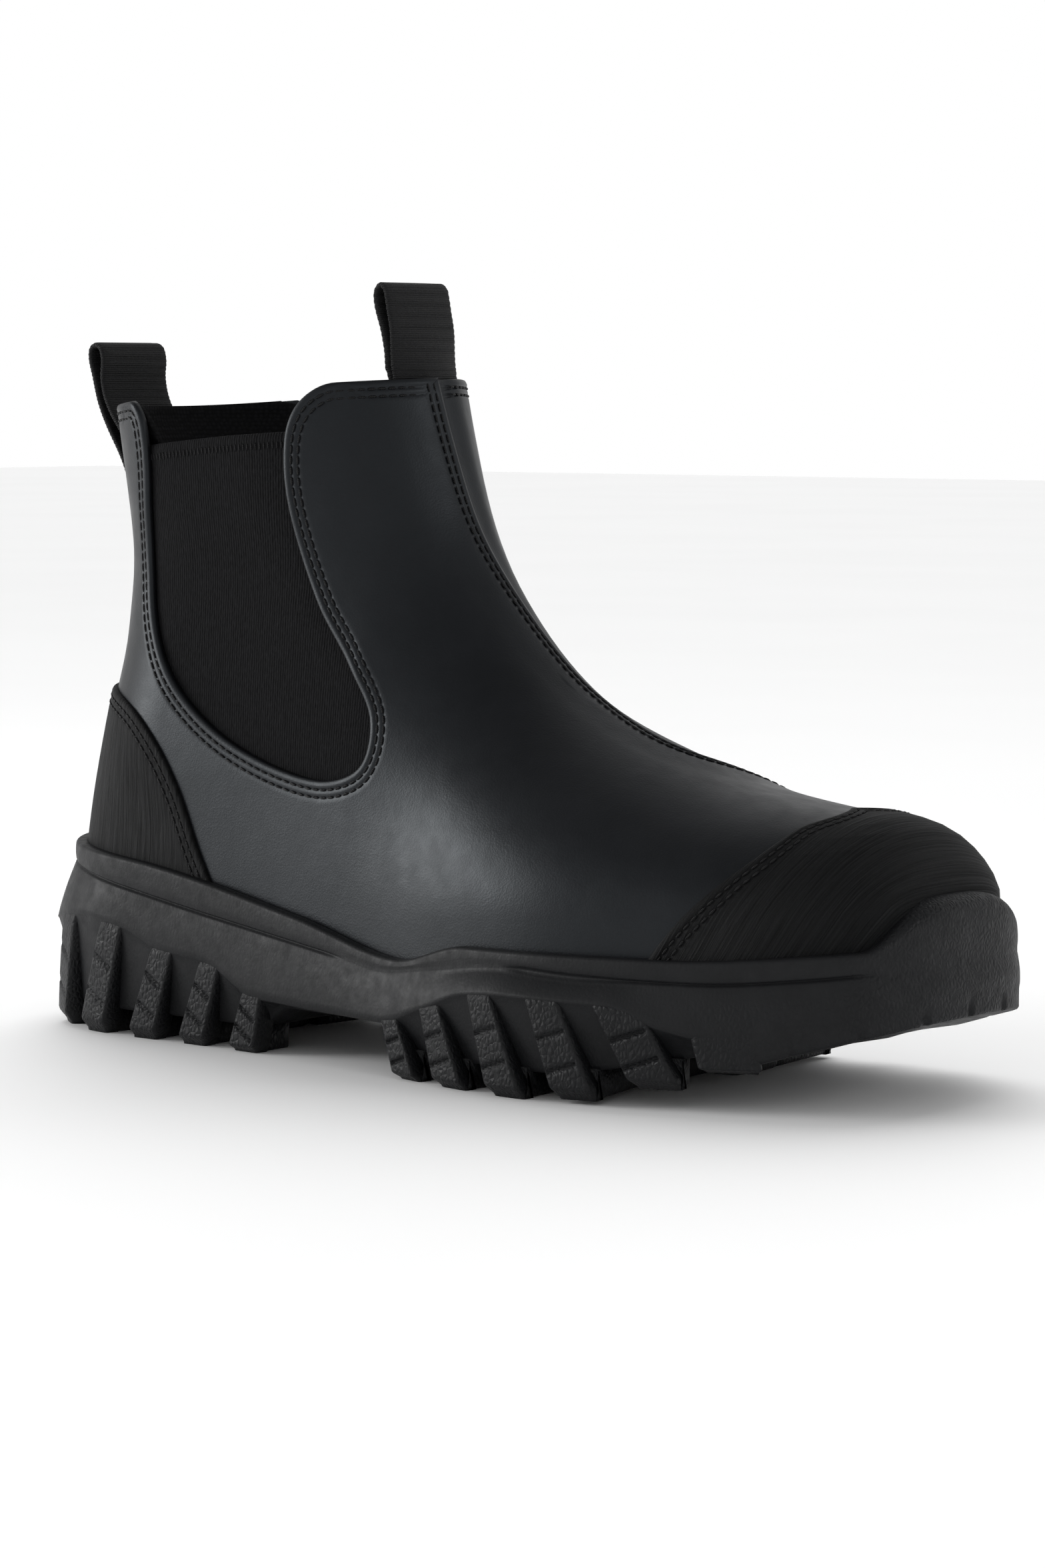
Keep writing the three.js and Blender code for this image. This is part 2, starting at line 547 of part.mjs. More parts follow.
// ---------------------------------------------------------------- pull loops
// A strap folded into a drop shape, seen from the side: base at the origin, leaning by so much at its top.
function strapLoop({ height, lean, opening: gapWidth }) {
  const t = webbing.thickness;
  const steps = 12;
  const side = (sign, inset) => Array.from({ length: steps + 1 }, (_, i) => {
    const s = i / steps;
    const spread = (gapWidth / 2) * Math.sin((Math.PI / 2) * s) ** 1.6 + t - inset;
    return [lean * s * (1.3 - 0.3 * s) + sign * spread, height * s];
  });
  const arc = (radius, count) => Array.from({ length: count - 1 }, (_, i) => {
    const a = (Math.PI * (i + 1)) / count;
    return [lean + radius * Math.cos(a), height + radius * Math.sin(a)];
  });
  const heel = Array.from({ length: 5 }, (_, i) => {
    const a = Math.PI + (Math.PI * (i + 1)) / 6;
    return [t * Math.cos(a), t * Math.sin(a)];
  });
  const outer = [...side(1, 0), ...arc(gapWidth / 2 + t, 10), ...side(-1, 0).reverse(), ...heel];
  const innerFrom = 3;
  const inner = [...side(1, t).slice(innerFrom), ...arc(gapWidth / 2, 8), ...side(-1, t).slice(innerFrom).reverse()];
  const eye = sideBlock(inner, -webbing.width, webbing.width);
  return sideBlock(outer, -webbing.width / 2, webbing.width / 2).subtract(eye);
}
const frontPivot = new THREE.Vector3(frontXAt(heightAt(175)) - leather - gap - webbing.thickness, 0, heightAt(177.6));
const rearPivot = new THREE.Vector3(
  backEdge(rearPivotZ) - gap - backstay.thickness - gap - webbing.thickness, 0, rearPivotZ);

// ---------------------------------------------------------------- the scene
const material = (color, roughness, metalness = 0) => new THREE.MeshStandardMaterial({ color, roughness, metalness });
const looks = {
  rubber: material(0x1c1c1d, 0.75),
  leather: material(0x2a2c2e, 0.5),
  overlay: material(0x18191a, 0.7),
  elastic: material(0x151617, 0.95),
  webbing: material(0x0f0f10, 0.9),
  lining: material(0x1a1a1c, 0.95),
  foam: material(0x2b2b2d, 0.9),
  board: material(0xb9a98a, 0.9),
  steel: material(0x9a9da1, 0.35, 1),
};

const boot = new THREE.Group();
boot.name = "safety_boot";

function place(name, solid, look, parent = boot) {
  const { vertProperties, triVerts } = solid.getMesh();
  const geometry = new THREE.BufferGeometry()
    .setAttribute("position", new THREE.BufferAttribute(vertProperties, 3))
    .setIndex(new THREE.BufferAttribute(triVerts, 1));
  geometry.computeVertexNormals();
  const mesh = new THREE.Mesh(geometry, look);
  mesh.name = name;
  parent.add(mesh);
}

place("outsole", outsole, looks.rubber);
place("midsole_foam", foam, looks.foam);
place("shank", shankBar(0), looks.steel);
place("insole_board", board, looks.board);
place("footbed", innerSole, looks.foam);
place("steel_toe_cap", toeCap, looks.steel);
place("toe_cap_edge_strip", toeCapStrip, looks.foam);
place("heel_counter", counter, looks.board);
place("vamp_and_outside_quarter", outsideUpper, looks.leather);
place("inside_quarter", insideQuarter, looks.leather);
place("toe_overlay", toeOverlay, looks.overlay);
place("heel_overlay", heelOverlay, looks.overlay);
place("outside_elastic", outsideElastic, looks.elastic);
place("inside_elastic", insideElastic, looks.elastic);
place("vamp_lining", liningFront, looks.lining);
place("quarter_lining", liningRear, looks.lining);
place("backstay", backStrip, looks.webbing);
place("rear_loop_tail", rearTail, looks.webbing);
place("front_loop_tail", frontTail, looks.webbing);

const loops = [
  ["front_pull_loop", frontPivot, frontLoop],
  ["rear_pull_loop", rearPivot, rearLoop],
];
for (const [name, pivot, sizes] of loops) {
  const hinge = new THREE.Group();
  hinge.position.copy(pivot);
  place(name, strapLoop(sizes), looks.webbing, hinge);
  boot.add(hinge);
}

export default boot;
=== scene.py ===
# %% [markdown]
# # A pull-on safety boot
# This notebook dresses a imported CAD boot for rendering. The CAD model fixes every size and every hinge.
# Blender adds what makes it look made and sewn: rounded leather edges, stitches, ribbed webbing and moulded
# rubber. All lengths below are millimetres, and `MM` turns them into Blender's metres. Materials and lamps
# use metres.

import math

import bmesh
import bpy
import numpy as np
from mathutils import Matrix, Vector, geometry


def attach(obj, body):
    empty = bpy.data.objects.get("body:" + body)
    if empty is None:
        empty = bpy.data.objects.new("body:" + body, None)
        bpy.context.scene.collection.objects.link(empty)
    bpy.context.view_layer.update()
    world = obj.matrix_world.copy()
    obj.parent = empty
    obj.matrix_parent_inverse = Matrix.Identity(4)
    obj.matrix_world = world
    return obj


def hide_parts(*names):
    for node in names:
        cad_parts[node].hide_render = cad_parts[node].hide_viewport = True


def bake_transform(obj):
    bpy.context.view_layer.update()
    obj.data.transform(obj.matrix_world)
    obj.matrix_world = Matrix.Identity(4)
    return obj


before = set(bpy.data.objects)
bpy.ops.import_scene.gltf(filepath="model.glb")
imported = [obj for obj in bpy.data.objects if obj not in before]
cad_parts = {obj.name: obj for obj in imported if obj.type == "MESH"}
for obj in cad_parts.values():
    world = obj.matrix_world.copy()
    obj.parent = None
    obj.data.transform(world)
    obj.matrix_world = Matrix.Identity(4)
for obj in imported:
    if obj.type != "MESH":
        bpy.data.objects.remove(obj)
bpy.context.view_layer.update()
MM = 0.001

# %% [markdown]
# ## Curves through stations
# A shoemaker's last is described by a few measured stations. A monotone cubic joins them without
# overshooting, so a heel stays a heel. Blender has no such curve, so it is written once here and used for
# every profile.

# %% Profile helper


def ramp(low, high, x):
    """0 below low, 1 above high and a smooth step between."""
    t = np.clip((np.asarray(x, float) - low) / (high - low), 0, 1)
    return t * t * (3 - 2 * t)


def mix(a, b, t):
    return a + (b - a) * t


def through(stations):
    """A function that passes smoothly through (place, value) stations."""
    xs, ys = np.array(stations, float).T
    step = np.diff(xs)
    slope = np.diff(ys) / step
    tangent = np.empty(len(xs))
    tangent[0], tangent[-1] = slope[0], slope[-1]
    for i in range(1, len(xs) - 1):
        a, b = 2 * step[i] + step[i - 1], step[i] + 2 * step[i - 1]
        turns = slope[i - 1] * slope[i] <= 0
        tangent[i] = 0 if turns else (a + b) / (a / slope[i - 1] + b / slope[i])

    def value(x):
        x = np.asarray(x, float)
        i = np.clip(np.searchsorted(xs, x) - 1, 0, len(step) - 1)
        h = step[i]
        t = np.clip((x - xs[i]) / h, 0, 1)
        inside = ((1 + 2 * t) * (1 - t) ** 2 * ys[i] + t * (1 - t) ** 2 * h * tangent[i]
                  + t * t * (3 - 2 * t) * ys[i + 1] + t * t * (t - 1) * h * tangent[i + 1])
        below, above = np.minimum(x - xs[0], 0), np.maximum(x - xs[-1], 0)
        return inside + below * tangent[0] + above * tangent[-1]

    return value


# %% [markdown]
# ## The last
# The boot's outer leather surface is one formula: half a width at every height and length. Rows run round
# the boot from the sole (t = 0) to the collar (t = 1). Along a row, s is 0 at the back seam, 0.5 at the
# front and 1 back at the seam. Every piece of the upper is cut from this surface, as real panels are pulled
# over one last.

# %% Side profiles of the last
SOLE_TOP = 44
back_edge = through([(44, -134), (62, -130.5), (84, -125), (108, -118.7), (132, -116.7), (168, -120.4)])
FRONT = np.array([(-19, 176), (-15, 160), (-8, 138), (6, 116), (28, 95), (57, 81.5), (83, 73.5), (104, 70),
                  (121, 67.5), (132, 57), (136, 44), (137, 30)], float)
chord = np.concatenate([[0], np.cumsum(np.hypot(*np.diff(FRONT, axis=0).T))])
front_fine = np.linspace(0, chord[-1], 600)
front_x = through(np.column_stack([chord, FRONT[:, 0]]))(front_fine)
front_z = through(np.column_stack([chord, FRONT[:, 1]]))(front_fine)
TOE_X, HEEL_X = front_x[-1], -134.0
lateral_half = through([(-136, 33), (-100, 35), (-60, 36), (-20, 39), (20, 45.5), (55, 49), (90, 46),
                        (137, 41)])
medial_half = through([(-136, 33), (-100, 35), (-60, 33), (-20, 33), (20, 39.5), (55, 45), (90, 47),
                       (137, 49)])
shaft_half = through([(44, 33), (84, 32.2), (120, 32.2), (145, 34.7), (176, 36.7)])
print("the last is", round(TOE_X - HEEL_X), "mm long")

# %% Levels of the sole
lip_top = through([(-140, 51.5), (-95, 48), (-35, 37.5), (5, 30), (30, 35.5), (90, 36.3), (140, 40.5)])
board_level = through([(-140, 43), (-95, 40), (-35, 31), (5, 27.5), (30, 27), (90, 27.6), (140, 31)])
recess_top = through([(-145, 18), (-133, 25), (-121, 30), (-112, 31), (-98, 29), (-84, 24), (-67, 22), (-48, 14),
                      (0, 13), (18, 18), (34, 23.5), (46, 24.5), (74, 24), (88, 19), (100, 17), (125, 22),
                      (145, 30)])
LUG_DEPTH, TOE_LUG_DEPTH, CUP_DEPTH = 6.5, 2.5, 9
TOE_SPRING, SPRING_START, SPRING_LENGTH = 24, 55, 90
ARCH_RISE = 6


def feather_line(x):
    """Where the upper's lower edge sits in the cup of the sole."""
    return lip_top(x) - CUP_DEPTH


def ridge_y(x):
    """The crest of the foot drifts to the inside towards the toe."""
    return 7 * ramp(20, 140, x)


def spring(x):
    """How far the sole has left the ground."""
    return TOE_SPRING * np.clip((np.asarray(x, float) - SPRING_START) / SPRING_LENGTH, 0, 2) ** 1.5


def tread(x):
    """The level of the rubber between the lugs."""
    arch = ARCH_RISE * ramp(-52, -40, x) * (1 - ramp(-2, 8, x))
    return LUG_DEPTH + spring(x) + arch - (LUG_DEPTH - TOE_LUG_DEPTH) * ramp(80, 135, x)


# %% The surface of the upper


def rounded(t, power):
    """Rises from 0 to 1 like the end of a superellipse."""
    u = np.clip(t, 0, 1)
    return np.maximum(1 - (1 - u) ** power, 0) ** (1 / power)


def half_width(x, z, side):
    """Half the boot's width at (x, z). side is -1 for the outside of the foot and +1 for the inside."""
    plan = np.where(np.asarray(side) < 0, lateral_half(x), medial_half(x))
    width = mix(plan, shaft_half(z), ramp(0, 1, (z - 70) / 70))
    heel_end = rounded((x - back_edge(z)) / 38, 2.2)
    shin_end = rounded((np.interp(z, front_z[::-1], front_x[::-1]) - x) / 50, 2)
    wall_top = feather_line(x) + 17
    ridge = np.interp(x, front_x, front_z)
    rise = np.clip((z - wall_top) / np.maximum(ridge - wall_top, 1e-3), 0, 1)
    dome = np.maximum(1 - rise ** 1.8, 0) ** (1 / 2.1)
    fore_end = rounded((TOE_X - x) / 64.5, 2.7) * dome
    into_shaft = ramp(-45, 45, (z - 100) * 0.75 - (x + 15))
    return width * heel_end * mix(fore_end, shin_end, into_shaft)


BACK_LOW, BACK_HIGH = float(feather_line(HEEL_X)), 168.0


def surface(s, t):
    """Points on the outer face of the leather for arrays s (round) and t (up)."""
    s, t = np.broadcast_arrays(np.asarray(s, float), np.asarray(t, float))
    v = (1 - np.cos(2 * np.pi * s)) / 2
    side = np.where(np.sin(2 * np.pi * s) >= 0, -1.0, 1.0)
    front = [np.interp((1 - t) * front_fine[-1], front_fine, f) for f in (front_x, front_z)]
    back_z = mix(BACK_LOW, BACK_HIGH, t)
    back_x = back_edge(back_z)
    flat = (1 - ramp(0.35, 0.75, t)) * ramp(0, 0.15, t)
    turn_x, turn_z = mix(back_x, front[0], 0.8), mix(back_z, front[1], 0.8 - 0.45 * flat)
    a, b, c = (1 - v) ** 2, 2 * v * (1 - v), v * v
    x = a * back_x + b * turn_x + c * front[0]
    fade = (1 - t) ** 3 * (1 - v ** (3 / np.maximum(t, 1e-4)))
    level = mix(BACK_LOW, front_z[-1], (x - HEEL_X) / (TOE_X - HEEL_X))
    z = a * back_z + b * turn_z + c * front[1] + fade * (feather_line(x) - level)
    y = ridge_y(x) + side * half_width(x, z, side)
    return np.stack([x, y, z], axis=-1)


def unit(vectors):
    return vectors / np.maximum(np.linalg.norm(vectors, axis=-1, keepdims=True), 1e-12)


def surface_frame(s, t):
    """Point, outward normal and the two derivatives there."""
    e = 2e-3
    p = surface(s, t)
    t_low, t_high = np.clip(t - e, 0, 1), np.clip(t + e, 0, 1)
    ds = (surface(s + e, t) - surface(s - e, t)) / (2 * e)
    dt = (surface(s, t_high) - surface(s, t_low)) / (t_high - t_low)[..., None]
    return p, unit(np.cross(ds, dt)), ds, dt


grid_s, grid_t = np.meshgrid(np.linspace(0, 1, 480, endpoint=False), np.linspace(0, 1, 160), indexing="ij")
grid_p = surface(grid_s, grid_t)
FAR_AWAY = 1e6  # rules out grid points that don't count
FLAT_ON = 50  # below this the surface is seen edge-on and the search stops
BIGGEST_STEP = 0.01


def settle(goal, axes, allowed, rounds):
    """The (s, t) whose point has the coordinates goal along the two axes, sought from an allowed grid point."""
    a, b = axes
    far = (grid_p[..., a] - goal[0]) ** 2 + (grid_p[..., b] - goal[1]) ** 2 + np.where(allowed, 0, FAR_AWAY)
    i = np.unravel_index(np.argmin(far), far.shape)
    q = np.array([grid_s[i], grid_t[i]])
    for _ in range(rounds):
        p, _, ds, dt = surface_frame(q[0], q[1])
        jacobian = np.array([[ds[a], dt[a]], [ds[b], dt[b]]])
        if abs(np.linalg.det(jacobian)) < FLAT_ON:
            break
        step = np.linalg.solve(jacobian, [goal[0] - p[a], goal[1] - p[b]])
        q = q + np.clip(step, -BIGGEST_STEP, BIGGEST_STEP)
        q[1] = np.clip(q[1], 0, 1)
    return q


def seat(x, z, side):
    """Where the side-view point (x, z) of one side lies on the surface, as (s, t)."""
    return settle((x, z), (0, 2), np.sin(2 * np.pi * grid_s) * -side > -1e-9, 6)


def slide(q, frame_there, aim):
    """Moves rows q of (s, t) by the vectors aim, in mm, along the surface."""
    ds, dt = frame_there[2:]
    aa, bb, ab = (ds * ds).sum(-1), (dt * dt).sum(-1), (ds * dt).sum(-1)
    ra, rb = (ds * aim).sum(-1), (dt * aim).sum(-1)
    det = np.maximum(aa * bb - ab * ab, 1e-9)
    out = q + np.column_stack([(bb * ra - ab * rb) / det, (aa * rb - ab * ra) / det])
    out[:, 1] = np.clip(out[:, 1], 0, 1)
    return out


print("surface height", round(float(surface(0.5, 1.0)[2]), 1), "mm at the collar front")

# %% [markdown]
# ## Camera, light and floor
# Boots are shown from the front quarter with a long lens, on white, under large soft lights that leave no
# hard shadow. The camera comes first, so that every later piece can be judged from it. Dark leather shows
# what it reflects more than its own colour, so the studio's walls are pale and its ceiling dark. The high
# lamp only lights the floor: it is kept out of reflections, because a bright patch on the instep would look
# like wet plastic.

# %% Camera
scene = bpy.context.scene
TARGET, AZIMUTH, ELEVATION, DISTANCE = Vector((-15.0, 29.2, 68.0)) * MM, 39.02, 5.12, 1.1919
az, el = math.radians(AZIMUTH), math.radians(ELEVATION)
away = Vector((math.sin(az) * math.cos(el), -math.cos(az) * math.cos(el), math.sin(el)))
camera = bpy.data.objects.new("camera", bpy.data.cameras.new("camera"))
scene.collection.objects.link(camera)
camera.location = TARGET + away * DISTANCE
camera.rotation_mode = "QUATERNION"
camera.rotation_quaternion = (-away).to_track_quat("-Z", "Y")
camera.data.sensor_fit, camera.data.sensor_width, camera.data.lens = "AUTO", 36, 102.5
scene.camera = camera

# %% Soft studio lights


def soft_light(name, azimuth, elevation, distance, size, power):
    """A square area light aimed at the middle of the boot. Azimuth is measured like the camera's."""
    a, e = math.radians(azimuth), math.radians(elevation)
    back = Vector((math.sin(a) * math.cos(e), -math.cos(a) * math.cos(e), math.sin(e)))
    light = bpy.data.objects.new(name, bpy.data.lights.new(name, "AREA"))
    scene.collection.objects.link(light)
    light.data.shape, light.data.size, light.data.energy = "SQUARE", size, power
    light.location = Vector((0, 0, 0.09)) + back * distance
    light.rotation_mode = "QUATERNION"
    light.rotation_quaternion = (-back).to_track_quat("-Z", "Y")
    return light


soft_light("left_softbox", -57, 12, 1.4, 0.66, 10.5)
soft_light("right_softbox", 100, 20, 1.4, 0.45, 1.9)
sky = bpy.data.objects.new("overhead_scrim", bpy.data.lights.new("overhead_scrim", "SUN"))
scene.collection.objects.link(sky)
sky.data.energy, sky.data.angle = 2.3, math.radians(70)
sky.visible_glossy = False
sky.rotation_mode = "QUATERNION"
sky.rotation_quaternion = Vector((0.47, -0.58, -0.66)).to_track_quat("-Z", "Y")
SIDE_WALLS, CEILING = 0.75, 0.2  # brightness low down and straight overhead
WALLS_END = 0.42  # sine of the height at which the walls begin to darken
world = bpy.data.worlds.new("studio")
scene.world = world
world.use_nodes = True
world.node_tree.nodes["Background"].inputs["Color"].default_value = (1, 1, 1, 1)
studio = world.node_tree
heading = studio.nodes.new("ShaderNodeSeparateXYZ")
studio.links.new(studio.nodes.new("ShaderNodeTexCoord").outputs["Generated"], heading.inputs[0])
dome = studio.nodes.new("ShaderNodeMapRange")
for socket, value in zip(dome.inputs[1:5], (WALLS_END, 1.0, SIDE_WALLS, CEILING)):
    socket.default_value = value
studio.links.new(heading.outputs["Z"], dome.inputs[0])
seen_or_light = studio.nodes.new("ShaderNodeMix")
seen = studio.nodes.new("ShaderNodeLightPath").outputs["Is Camera Ray"]
studio.links.new(seen, seen_or_light.inputs["Factor"])
studio.links.new(dome.outputs[0], seen_or_light.inputs["A"])
seen_or_light.inputs["B"].default_value = 1.0
studio.links.new(seen_or_light.outputs["Result"], studio.nodes["Background"].inputs["Strength"])
scene.view_settings.view_transform = "Standard"

# %% [markdown]
# ## Node materials
# Each finish is a small tree: one or two procedural patterns drive colour, roughness and bump. Patterns
# read Object coordinates in metres, or a map in millimetres where they follow a cut piece of cloth.

# %% Material helpers


class Finish:
    """A material with a Principled shader, built node by node."""

    def __init__(self, name, colour, roughness, **sockets):
        self.material = bpy.data.materials.new(name)
        self.material.use_nodes = True
        self.tree = self.material.node_tree
        self.shader = self.tree.nodes["Principled BSDF"]
        self.shader.inputs["Base Color"].default_value = (*colour, 1)
        self.shader.inputs["Roughness"].default_value = roughness
        for key, value in sockets.items():
            self.shader.inputs[key.replace("_", " ").title().replace("Ior", "IOR")].default_value = value
        self.bump = None

    def node(self, kind, **inputs):
        made = self.tree.nodes.new("ShaderNode" + kind)
        for key, value in inputs.items():
            socket = made.inputs[int(key[1:])] if key[0] == "i" and key[1:].isdigit() else made.inputs[
                key.replace("_", " ").title()]
            if hasattr(value, "is_output"):
                self.tree.links.new(value, socket)
            else:
                socket.default_value = value
        return made

    def place(self, scale=(1, 1, 1), turn=(0, 0, 0), layer=None):
        """Object coordinates, or a piece's own map, stretched by scale."""
        if layer:
            source = self.node("UVMap")
            source.uv_map = layer
            out = source.outputs[0]
        else:
            out = self.node("TexCoord").outputs["Object"]
        return self.node("Mapping", Vector=out, Scale=scale, Rotation=turn).outputs[0]

    def noise(self, where, scale, detail=3.0, roughness=0.55, distortion=0.0):
        return self.node("TexNoise", Vector=where, Scale=scale, Detail=detail, Roughness=roughness,
                         Distortion=distortion).outputs["Fac"]

    def cells(self, where, scale, feature="F1", randomness=1.0):
        made = self.node("TexVoronoi", Vector=where, Scale=scale, Randomness=randomness)
        made.feature = feature
        return made.outputs["Distance"]

    def bands(self, where, scale, direction="X", profile="SIN", distortion=0.0, detail=2.0, detail_scale=1.0):
        made = self.node("TexWave", Vector=where, Scale=scale, Distortion=distortion, Detail=detail)
        made.inputs["Detail Scale"].default_value = detail_scale
        made.bands_direction, made.wave_profile = direction, profile
        return made.outputs["Fac"]

    def fit(self, value, low, high, to_low, to_high):
        made = self.node("MapRange")
        self.tree.links.new(value, made.inputs[0])
        for i, number in enumerate((low, high, to_low, to_high)):
            made.inputs[i + 1].default_value = number
        return made.outputs[0]

    def maths(self, operation, a, b=0.0):
        made = self.tree.nodes.new("ShaderNodeMath")
        made.operation = operation
        for i, value in enumerate((a, b)):
            if hasattr(value, "is_output"):
                self.tree.links.new(value, made.inputs[i])
            else:
                made.inputs[i].default_value = value
        return made.outputs[0]

    def attribute(self, name):
        made = self.tree.nodes.new("ShaderNodeAttribute")
        made.attribute_name = name
        return made.outputs["Fac"]

    def colour(self, value, low, high, dark, light):
        """Base colour from dark to light as value goes from low to high."""
        ramp_node = self.tree.nodes.new("ShaderNodeValToRGB")
        self.tree.links.new(value, ramp_node.inputs[0])
        for element, place, tone in zip(ramp_node.color_ramp.elements, (low, high), (dark, light)):
            element.position, element.color = place, (*tone, 1)
        self.tree.links.new(ramp_node.outputs[0], self.shader.inputs["Base Color"])

    def rough(self, value, low, high, smooth, dull):
        self.tree.links.new(self.fit(value, low, high, smooth, dull), self.shader.inputs["Roughness"])

    def relief(self, height, depth_mm, strength=1.0):
        """Adds a bump of that depth on top of those already there."""
        made = self.tree.nodes.new("ShaderNodeBump")
        made.inputs["Strength"].default_value = strength
        made.inputs["Distance"].default_value = depth_mm * MM
        self.tree.links.new(height, made.inputs["Height"])
        if self.bump:
            self.tree.links.new(self.bump, made.inputs["Normal"])
        self.bump = made.outputs[0]
        self.tree.links.new(self.bump, self.shader.inputs["Normal"])


# %% [markdown]
# ## Leather, rubber, cloth and metal
# The leather is a matte rubberised hide: almost black, with fine pores and a broad soft sheen. The rubber
# is a little greyer, and its lugs carry a wrinkled grain that hides scuffs.

# %% Leather
smooth_leather = Finish("matte_leather", (0.006, 0.0064, 0.0072), 0.4, specular_ior_level=0.25,
                        specular_tint=(0.86, 0.94, 1, 1))
spot = smooth_leather.place()
hide = smooth_leather.noise(spot, 45, 4)
smooth_leather.colour(hide, 0.3, 0.72, (0.0040, 0.0042, 0.0051), (0.0066, 0.0069, 0.0083))
smooth_leather.rough(smooth_leather.noise(spot, 160, 4), 0.3, 0.7, 0.34, 0.43)
smooth_leather.relief(smooth_leather.noise(spot, 120, 3), 0.25, 0.35)
smooth_leather.relief(smooth_leather.cells(spot, 1900), 0.06, 0.35)

# %% Brushed overlay leather
brushed_leather = Finish("brushed_overlay", (0.004, 0.0042, 0.0045), 0.6, specular_ior_level=0.12)
streak_map = brushed_leather.place((1, 1, 1), layer="cut_mm")
long_streaks = brushed_leather.node("Mapping", Vector=streak_map, Scale=(0.05, 2.1, 1)).outputs[0]
streaks = brushed_leather.noise(long_streaks, 1.0, 5, 0.6, 0.6)
brushed_leather.colour(streaks, 0.35, 0.7, (0.0022, 0.0023, 0.0025), (0.0080, 0.0083, 0.0088))
brushed_leather.rough(streaks, 0.3, 0.7, 0.7, 0.5)
brushed_leather.relief(streaks, 0.55, 0.8)
brushed_leather.relief(brushed_leather.noise(brushed_leather.place(), 1500, 3), 0.08, 0.5)

# %% Rubber
rubber = Finish("moulded_rubber", (0.011, 0.0113, 0.0122), 0.5, specular_ior_level=0.2)
spot = rubber.place()
rubber.colour(rubber.noise(spot, 70, 4), 0.3, 0.7, (0.0060, 0.0063, 0.0071), (0.0094, 0.0098, 0.0109))
rubber.rough(rubber.noise(spot, 300, 4), 0.3, 0.7, 0.44, 0.6)
leaning = rubber.node("Mapping", Vector=spot, Scale=(1, 1, 0.72), Rotation=(0.3, 0.2, 0.5)).outputs[0]
wrinkles = rubber.maths("MULTIPLY", rubber.cells(leaning, 800, "DISTANCE_TO_EDGE"), rubber.attribute("grain"))
rubber.relief(wrinkles, 0.8, 0.6)
rubber.relief(rubber.noise(spot, 1400, 2), 0.05, 0.5)

# %% Knitted elastic, webbing and thread
knit = Finish("knitted_elastic", (0.003, 0.003, 0.0034), 0.9, specular_ior_level=0.12)
spot = knit.place()
CORD_RATE = 393.112  # how often the knit's cords repeat across the panel
cords = knit.bands(knit.place((1, 1, 0.05)), CORD_RATE, "X", "SIN", 0.35, 2, 60)
loops = knit.noise(knit.node("Mapping", Vector=spot, Scale=(1.0, 1.0, 0.45)).outputs[0], 1500, 2, 0.6)
knit_height = knit.maths("ADD", knit.maths("MULTIPLY", cords, 0.35), loops)
knit.colour(knit_height, 0.4, 1.0, (0.0022, 0.0022, 0.0025), (0.0085, 0.0085, 0.0094))
knit.relief(knit_height, 0.5, 0.9)

ribbed_webbing = Finish("ribbed_webbing", (0.004, 0.004, 0.0044), 0.7, specular_ior_level=0.32)
web_map = ribbed_webbing.place((1, 1, 1), layer="cut_mm")
yarn = ribbed_webbing.bands(web_map, 0.55, "X", "SIN", 0.6, 2, 1.5)
fuzz = ribbed_webbing.noise(ribbed_webbing.place(), 1800, 3)
yarn_height = ribbed_webbing.maths("ADD", yarn, fuzz)
ribbed_webbing.colour(yarn_height, 0.4, 1.5, (0.0016, 0.0016, 0.0018), (0.0085, 0.0085, 0.0093))
ribbed_webbing.relief(yarn_height, 0.3, 0.9)

thread = Finish("sewing_thread", (0.004, 0.004, 0.0045), 0.6, specular_ior_level=0.25)
twist = thread.bands(thread.place((1, 1, 1), (0.3, 0.6, 0.4)), 900, "DIAGONAL", "SIN", 0.5)
thread.colour(twist, 0.2, 0.8, (0.0014, 0.0014, 0.0016), (0.0065, 0.0065, 0.0072))
thread.relief(twist, 0.12, 0.8)

# %% Lining, foam, board and steel
lining_cloth = Finish("lining_cloth", (0.004, 0.004, 0.0045), 0.9, specular_ior_level=0.15)
spot = lining_cloth.place()
mesh_cells = lining_cloth.cells(spot, 900, "F1", 0.35)
lining_cloth.colour(mesh_cells, 0.1, 0.6, (0.0062, 0.0062, 0.0070), (0.0018, 0.0018, 0.0021))
lining_cloth.relief(mesh_cells, 0.35, 0.8)

pad_cloth = Finish("footbed_cloth", (0.028, 0.029, 0.032), 0.9, sheen_weight=0.15, sheen_roughness=0.6)
spot = pad_cloth.place()
weft, warp = [pad_cloth.bands(spot, 480, direction, "SIN", 0.4) for direction in "XY"]
weave = pad_cloth.maths("ADD", weft, warp)
pad_cloth.colour(weave, 0.3, 1.7, (0.016, 0.0165, 0.018), (0.04, 0.041, 0.045))
pad_cloth.relief(weave, 0.2, 0.8)


def plain_finish(name, colour, roughness, scale, spread=0.25, depth=0.1, **sockets):
    """A finish for hidden pieces: mottled colour and a fine surface."""
    made = Finish(name, colour, roughness, **sockets)
    where = made.place()
    mottle = made.noise(where, scale, 4)
    dark, light = [tuple(c * (1 + way * spread) for c in colour) for way in (-1, 1)]
    made.colour(mottle, 0.3, 0.7, dark, light)
    made.relief(made.noise(where, scale * 6, 3), depth, 0.5)
    return made.material


foam_finish = plain_finish("cushion_foam", (0.075, 0.078, 0.082), 0.85, 400)
board_finish = plain_finish("lasting_board", (0.33, 0.25, 0.16), 0.9, 300)
steel_finish = plain_finish("pressed_steel", (0.42, 0.43, 0.44), 0.32, 90, 0.1, 0.04, metallic=1.0)
print("finishes:", len(bpy.data.materials))

